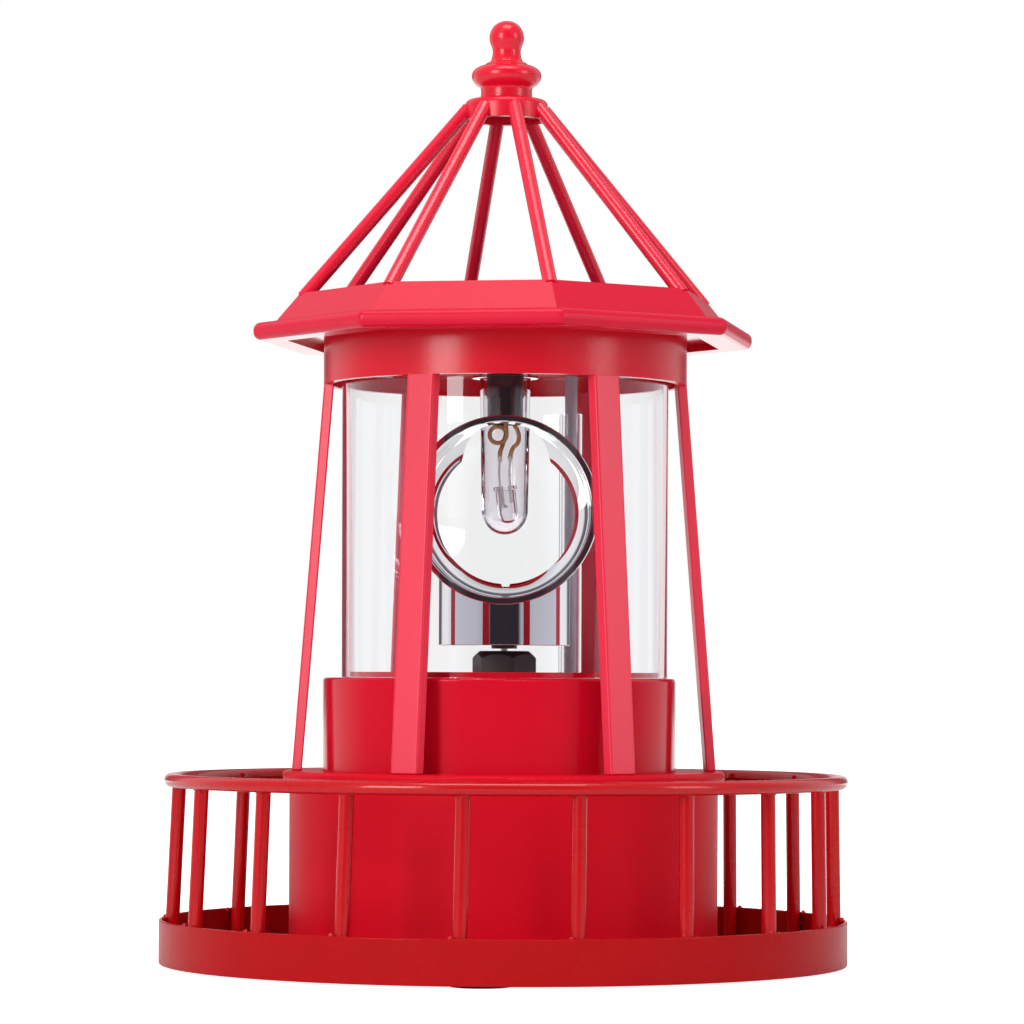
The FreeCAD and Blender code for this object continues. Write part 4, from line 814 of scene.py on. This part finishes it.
# ------------------------------ reflector
# The reflector is moulded in plastic and vacuum-plated with chrome: a horizontal ring with a concave
# bore, a flat front rim and a beaded rear lip, on an upright cup. Its top is cut away so that it can
# turn round the sleeve.
chrome_colour = (0.86, 0.86, 0.875)
chrome = new_material("reflector_chrome", chrome_colour, 0.025, metallic=1.0)
flow = noise_node(chrome.node_tree, 70.0, 1.5, 0.4)
vary(chrome, chrome_colour, flow, 0.94, 1.04, 0.015, 0.04)
use_bump(chrome, flow, 0.012, 0.2 * mm)
reflector_height, reflector_half, reflector_yaw = 112.3 * mm, 16.5 * mm, -1.0
bore_front, bore_rear, bore_curl = 21.5 * mm, 17.4 * mm, 5.6
ring_wall, rim_radius, bead = 0.9 * mm, 23.1 * mm, 0.95 * mm
cup_radius, cup_wall, cup_floor, hub_hole = 16.25 * mm, 1.2 * mm, 79.2 * mm, 3.2 * mm
sleeve_room, slot_mouth, notch_radius = 7.0 * mm, 12.9 * mm, 1.1 * mm
bore_rings, rim_depth = 28, 0.85 * mm


def bore_radius(along):
    """The bowl's inner radius: nearly straight at the front and closing in steeply at the rear lip."""
    share = min(max((along + reflector_half) / (2 * reflector_half), 0.0), 1.0)
    return bore_front - (bore_front - bore_rear) * share ** bore_curl


# The bore's rings stand closer together towards the rear lip, where it curves most.
bore_steps = [2 * (k / bore_rings) ** 0.6 - 1 for k in range(bore_rings + 1)]
bore_line = [(bore_radius(s * reflector_half), s * reflector_half) for s in bore_steps]
outside_line = [(r + ring_wall, along) for r, along in reversed(bore_line[:-1])]
rear_lip = [(bore_rear + bead - bead * math.cos(a), reflector_half + bead * math.sin(a))
            for a in [math.pi * k / 10 for k in range(1, 11)]]
# Close pairs of points hold the rim's face flat between its small rounds.
rim_front = -reflector_half - rim_depth
rim_outline = [(rim_radius - 0.1 * mm, -reflector_half + 0.5 * mm), (rim_radius, -reflector_half + 0.1 * mm),
               (rim_radius, rim_front + 0.35 * mm), (rim_radius - 0.12 * mm, rim_front + 0.1 * mm),
               (rim_radius - 0.25 * mm, rim_front), (rim_radius - 0.3 * mm, rim_front),
               (bore_front + 0.25 * mm, rim_front), (bore_front + 0.2 * mm, rim_front),
               (bore_front + 0.07 * mm, rim_front + 0.08 * mm), (bore_front, rim_front + 0.3 * mm)]
bowl = spun(bore_line + rear_lip + outside_line[:-1] + rim_outline, steps=200, axis=(0, 1, 0))

# The room for the sleeve: a slot up through the top, round in front and widening out to the rear, and
# the small notch in the rear lip.
slot_cutter = bmesh.new()
turns = [-math.pi * k / 40 for k in range(41)]
arch = [(sleeve_room * math.cos(a), sleeve_room * math.sin(a)) for a in turns]
arch += [(-slot_mouth, rim_radius), (slot_mouth, rim_radius)]
arch_face = slot_cutter.faces.new([slot_cutter.verts.new((x, y, 0)) for x, y in arch])
raised = bmesh.ops.extrude_face_region(slot_cutter, geom=[arch_face])["geom"]
bmesh.ops.translate(slot_cutter, verts=[v for v in raised if isinstance(v, bmesh.types.BMVert)],
                    vec=(0, 0, rim_radius + 1 * mm))
notch_start, notch_end = Vector((0, 1 * mm, -bore_rear)), Vector((0, reflector_half + 2 * mm, -bore_rear))
add_rod(slot_cutter, notch_start, notch_end, notch_radius)
bmesh.ops.recalc_face_normals(slot_cutter, faces=slot_cutter.faces)


def cut_away(bm, cutter):
    """One closed shape less another."""
    shapes = []
    for label, form in (("blank", bm), ("cutter", cutter)):
        mesh = bpy.data.meshes.new(label)
        form.to_mesh(mesh)
        form.free()
        shapes.append(bpy.data.objects.new(label, mesh))
        scene.collection.objects.link(shapes[-1])
    blank, tool = shapes
    cut = blank.modifiers.new("cut", "BOOLEAN")
    cut.object = tool
    cut.operation = "DIFFERENCE"
    cut.solver = "EXACT"
    result = bmesh.new()
    result.from_mesh(blank.evaluated_get(bpy.context.evaluated_depsgraph_get()).to_mesh())
    for shape in shapes:
        mesh = shape.data
        bpy.data.objects.remove(shape)
        bpy.data.meshes.remove(mesh)
    return result


bowl = cut_away(bowl, slot_cutter)
cup_foot_drop, cup_bore = cup_floor - reflector_height, cup_radius - cup_wall
cup = spun([(hub_hole, cup_foot_drop), (cup_radius, cup_foot_drop), (cup_radius, 0), (cup_bore, 0),
            (cup_bore, cup_foot_drop + cup_wall), (hub_hole, cup_foot_drop + cup_wall)], steps=160)
# The cup's upper edge follows the underside of the bowl, inside its wall.
for vert in cup.verts:
    if vert.co.z > -1 * mm:
        reach = bore_radius(vert.co.y) + ring_wall / 2
        vert.co.z = -math.sqrt(reach ** 2 - vert.co.x ** 2)
for form in (bowl, cup):
    bmesh.ops.rotate(form, verts=form.verts, cent=(0, 0, 0),
                     matrix=Matrix.Rotation(math.radians(reflector_yaw), 3, "Z"))
    bmesh.ops.translate(form, verts=form.verts, vec=(0, 0, reflector_height))
piece("reflector_bowl", bowl, chrome, "reflector_unit", ["reflector"], smooth=30)
piece("reflector_cup", cup, chrome, "reflector_unit", smooth=30, edge_round=0.2 * mm)

# ------------------------------ reflector hub and drive shaft
# A black plastic hub is glued into the cup's floor and pressed on the drive shaft. The shaft and the
# arbors of the gears are ground steel.
dress(moulded("hub_black", (0.024, 0.022, 0.025), 0.4), "reflector_hub")
dress(bare_metal("ground_steel", (0.5, 0.5, 0.5), 0.2), "output_shaft", "gear_arbors")

# ------------------------------ movement case and nut
# The movement's case and cover are moulded in black plastic. It hangs under the housing's top, held by
# one black hexagon nut on its bushing.
movement_plastic = moulded("movement_plastic", (0.022, 0.02, 0.023), 0.42)
dress(movement_plastic, "movement_case", "movement_cover", "movement_nut")

# ------------------------------ gear train
# White nylon gears, moulded, with a slight sheen from grease. The output gear is pressed on the drive
# shaft, and the two compound gears run on steel arbors. The motor's end cap is of the same nylon.
gear_nylon = moulded("gear_nylon", (0.78, 0.77, 0.72), 0.38, scale=1500.0, bump=0.1)
dress(gear_nylon, "output_gear", "second_gear", "first_gear", "motor_cap")

# ------------------------------ motor
# A small round direct-current motor stands in the movement: a nickel-plated can, dark magnets, a slotted
# rotor and a brass pinion.
dress(bare_metal("can_nickel", (0.6, 0.59, 0.57), 0.28), "motor_can", "motor_rotor")
dress(moulded("magnet_grey", (0.06, 0.06, 0.062), 0.6, scale=600.0, bump=0.35), "motor_magnets")
dress(bare_metal("pinion_brass", (0.75, 0.52, 0.2), 0.25), "motor_pinion")

# ------------------------------ battery, holder and contacts
# A rechargeable cell in green shrink film with bare steel ends lies in a black holder, between a
# nickel-plated coil and a plate.
film_colour, film_half = (0.05, 0.22, 0.1), 24.2 * mm
cell_film = new_material("cell_film", film_colour, 0.26)
tree = cell_film.node_tree
shader = tree.nodes["Principled BSDF"]
bare_end = math_node(tree, "GREATER_THAN", math_node(tree, "ABSOLUTE", axes(tree)["X"]), film_half)
tree.links.new(colour_mix(tree, bare_end, film_colour, (0.6, 0.6, 0.58)), shader.inputs["Base Color"])
tree.links.new(bare_end, shader.inputs["Metallic"])
use_bump(cell_film, noise_node(tree, 300.0, 2.0), 0.1, 0.1 * mm)
dress(cell_film, "battery")
dress(moulded("holder_plastic", (0.026, 0.025, 0.027), 0.5), "battery_holder")
dress(bare_metal("contact_nickel", (0.66, 0.65, 0.62), 0.24), "contact_plate", "contact_spring")

# ------------------------------ circuit board and switch
# A green board stands on four posts, with a coil, a capacitor and a chip soldered to it. Beside it a
# small slide switch, in a metal frame, reaches down through the bottom cover.
board_colour = (0.02, 0.16, 0.05)
board_mask = new_material("board_mask", board_colour, 0.3)
tree = board_mask.node_tree
shader = tree.nodes["Principled BSDF"]
board_axes = axes(tree)
tracks = math_node(tree, "MAXIMUM", line_mask(tree, board_axes["X"], pitch=3.1 * mm, width=0.8 * mm),
                   line_mask(tree, board_axes["Y"], pitch=4.3 * mm, width=0.7 * mm))
tree.links.new(shaded(tree, board_colour, tracks, 0.9, 1.6), shader.inputs["Base Color"])
use_bump(board_mask, tracks, 0.2, 0.05 * mm)
dress(board_mask, "circuit_board")
dress(moulded("parts_black", (0.03, 0.03, 0.034), 0.35), "board_parts")
dress(bare_metal("switch_metal", (0.6, 0.6, 0.6), 0.3), "switch_body")
dress(moulded("slider_black", (0.025, 0.025, 0.027), 0.45), "switch_slider")

# ------------------------------ inner wires
# Thin copper wires in red insulation join the battery, the motor and the panel to the board. They are
# soldered at each end.
wire_red = moulded("wire_red", (0.55, 0.02, 0.02), 0.34, scale=1500.0, bump=0.1)
dress(wire_red, "battery_wires", "motor_wires", "panel_wires")
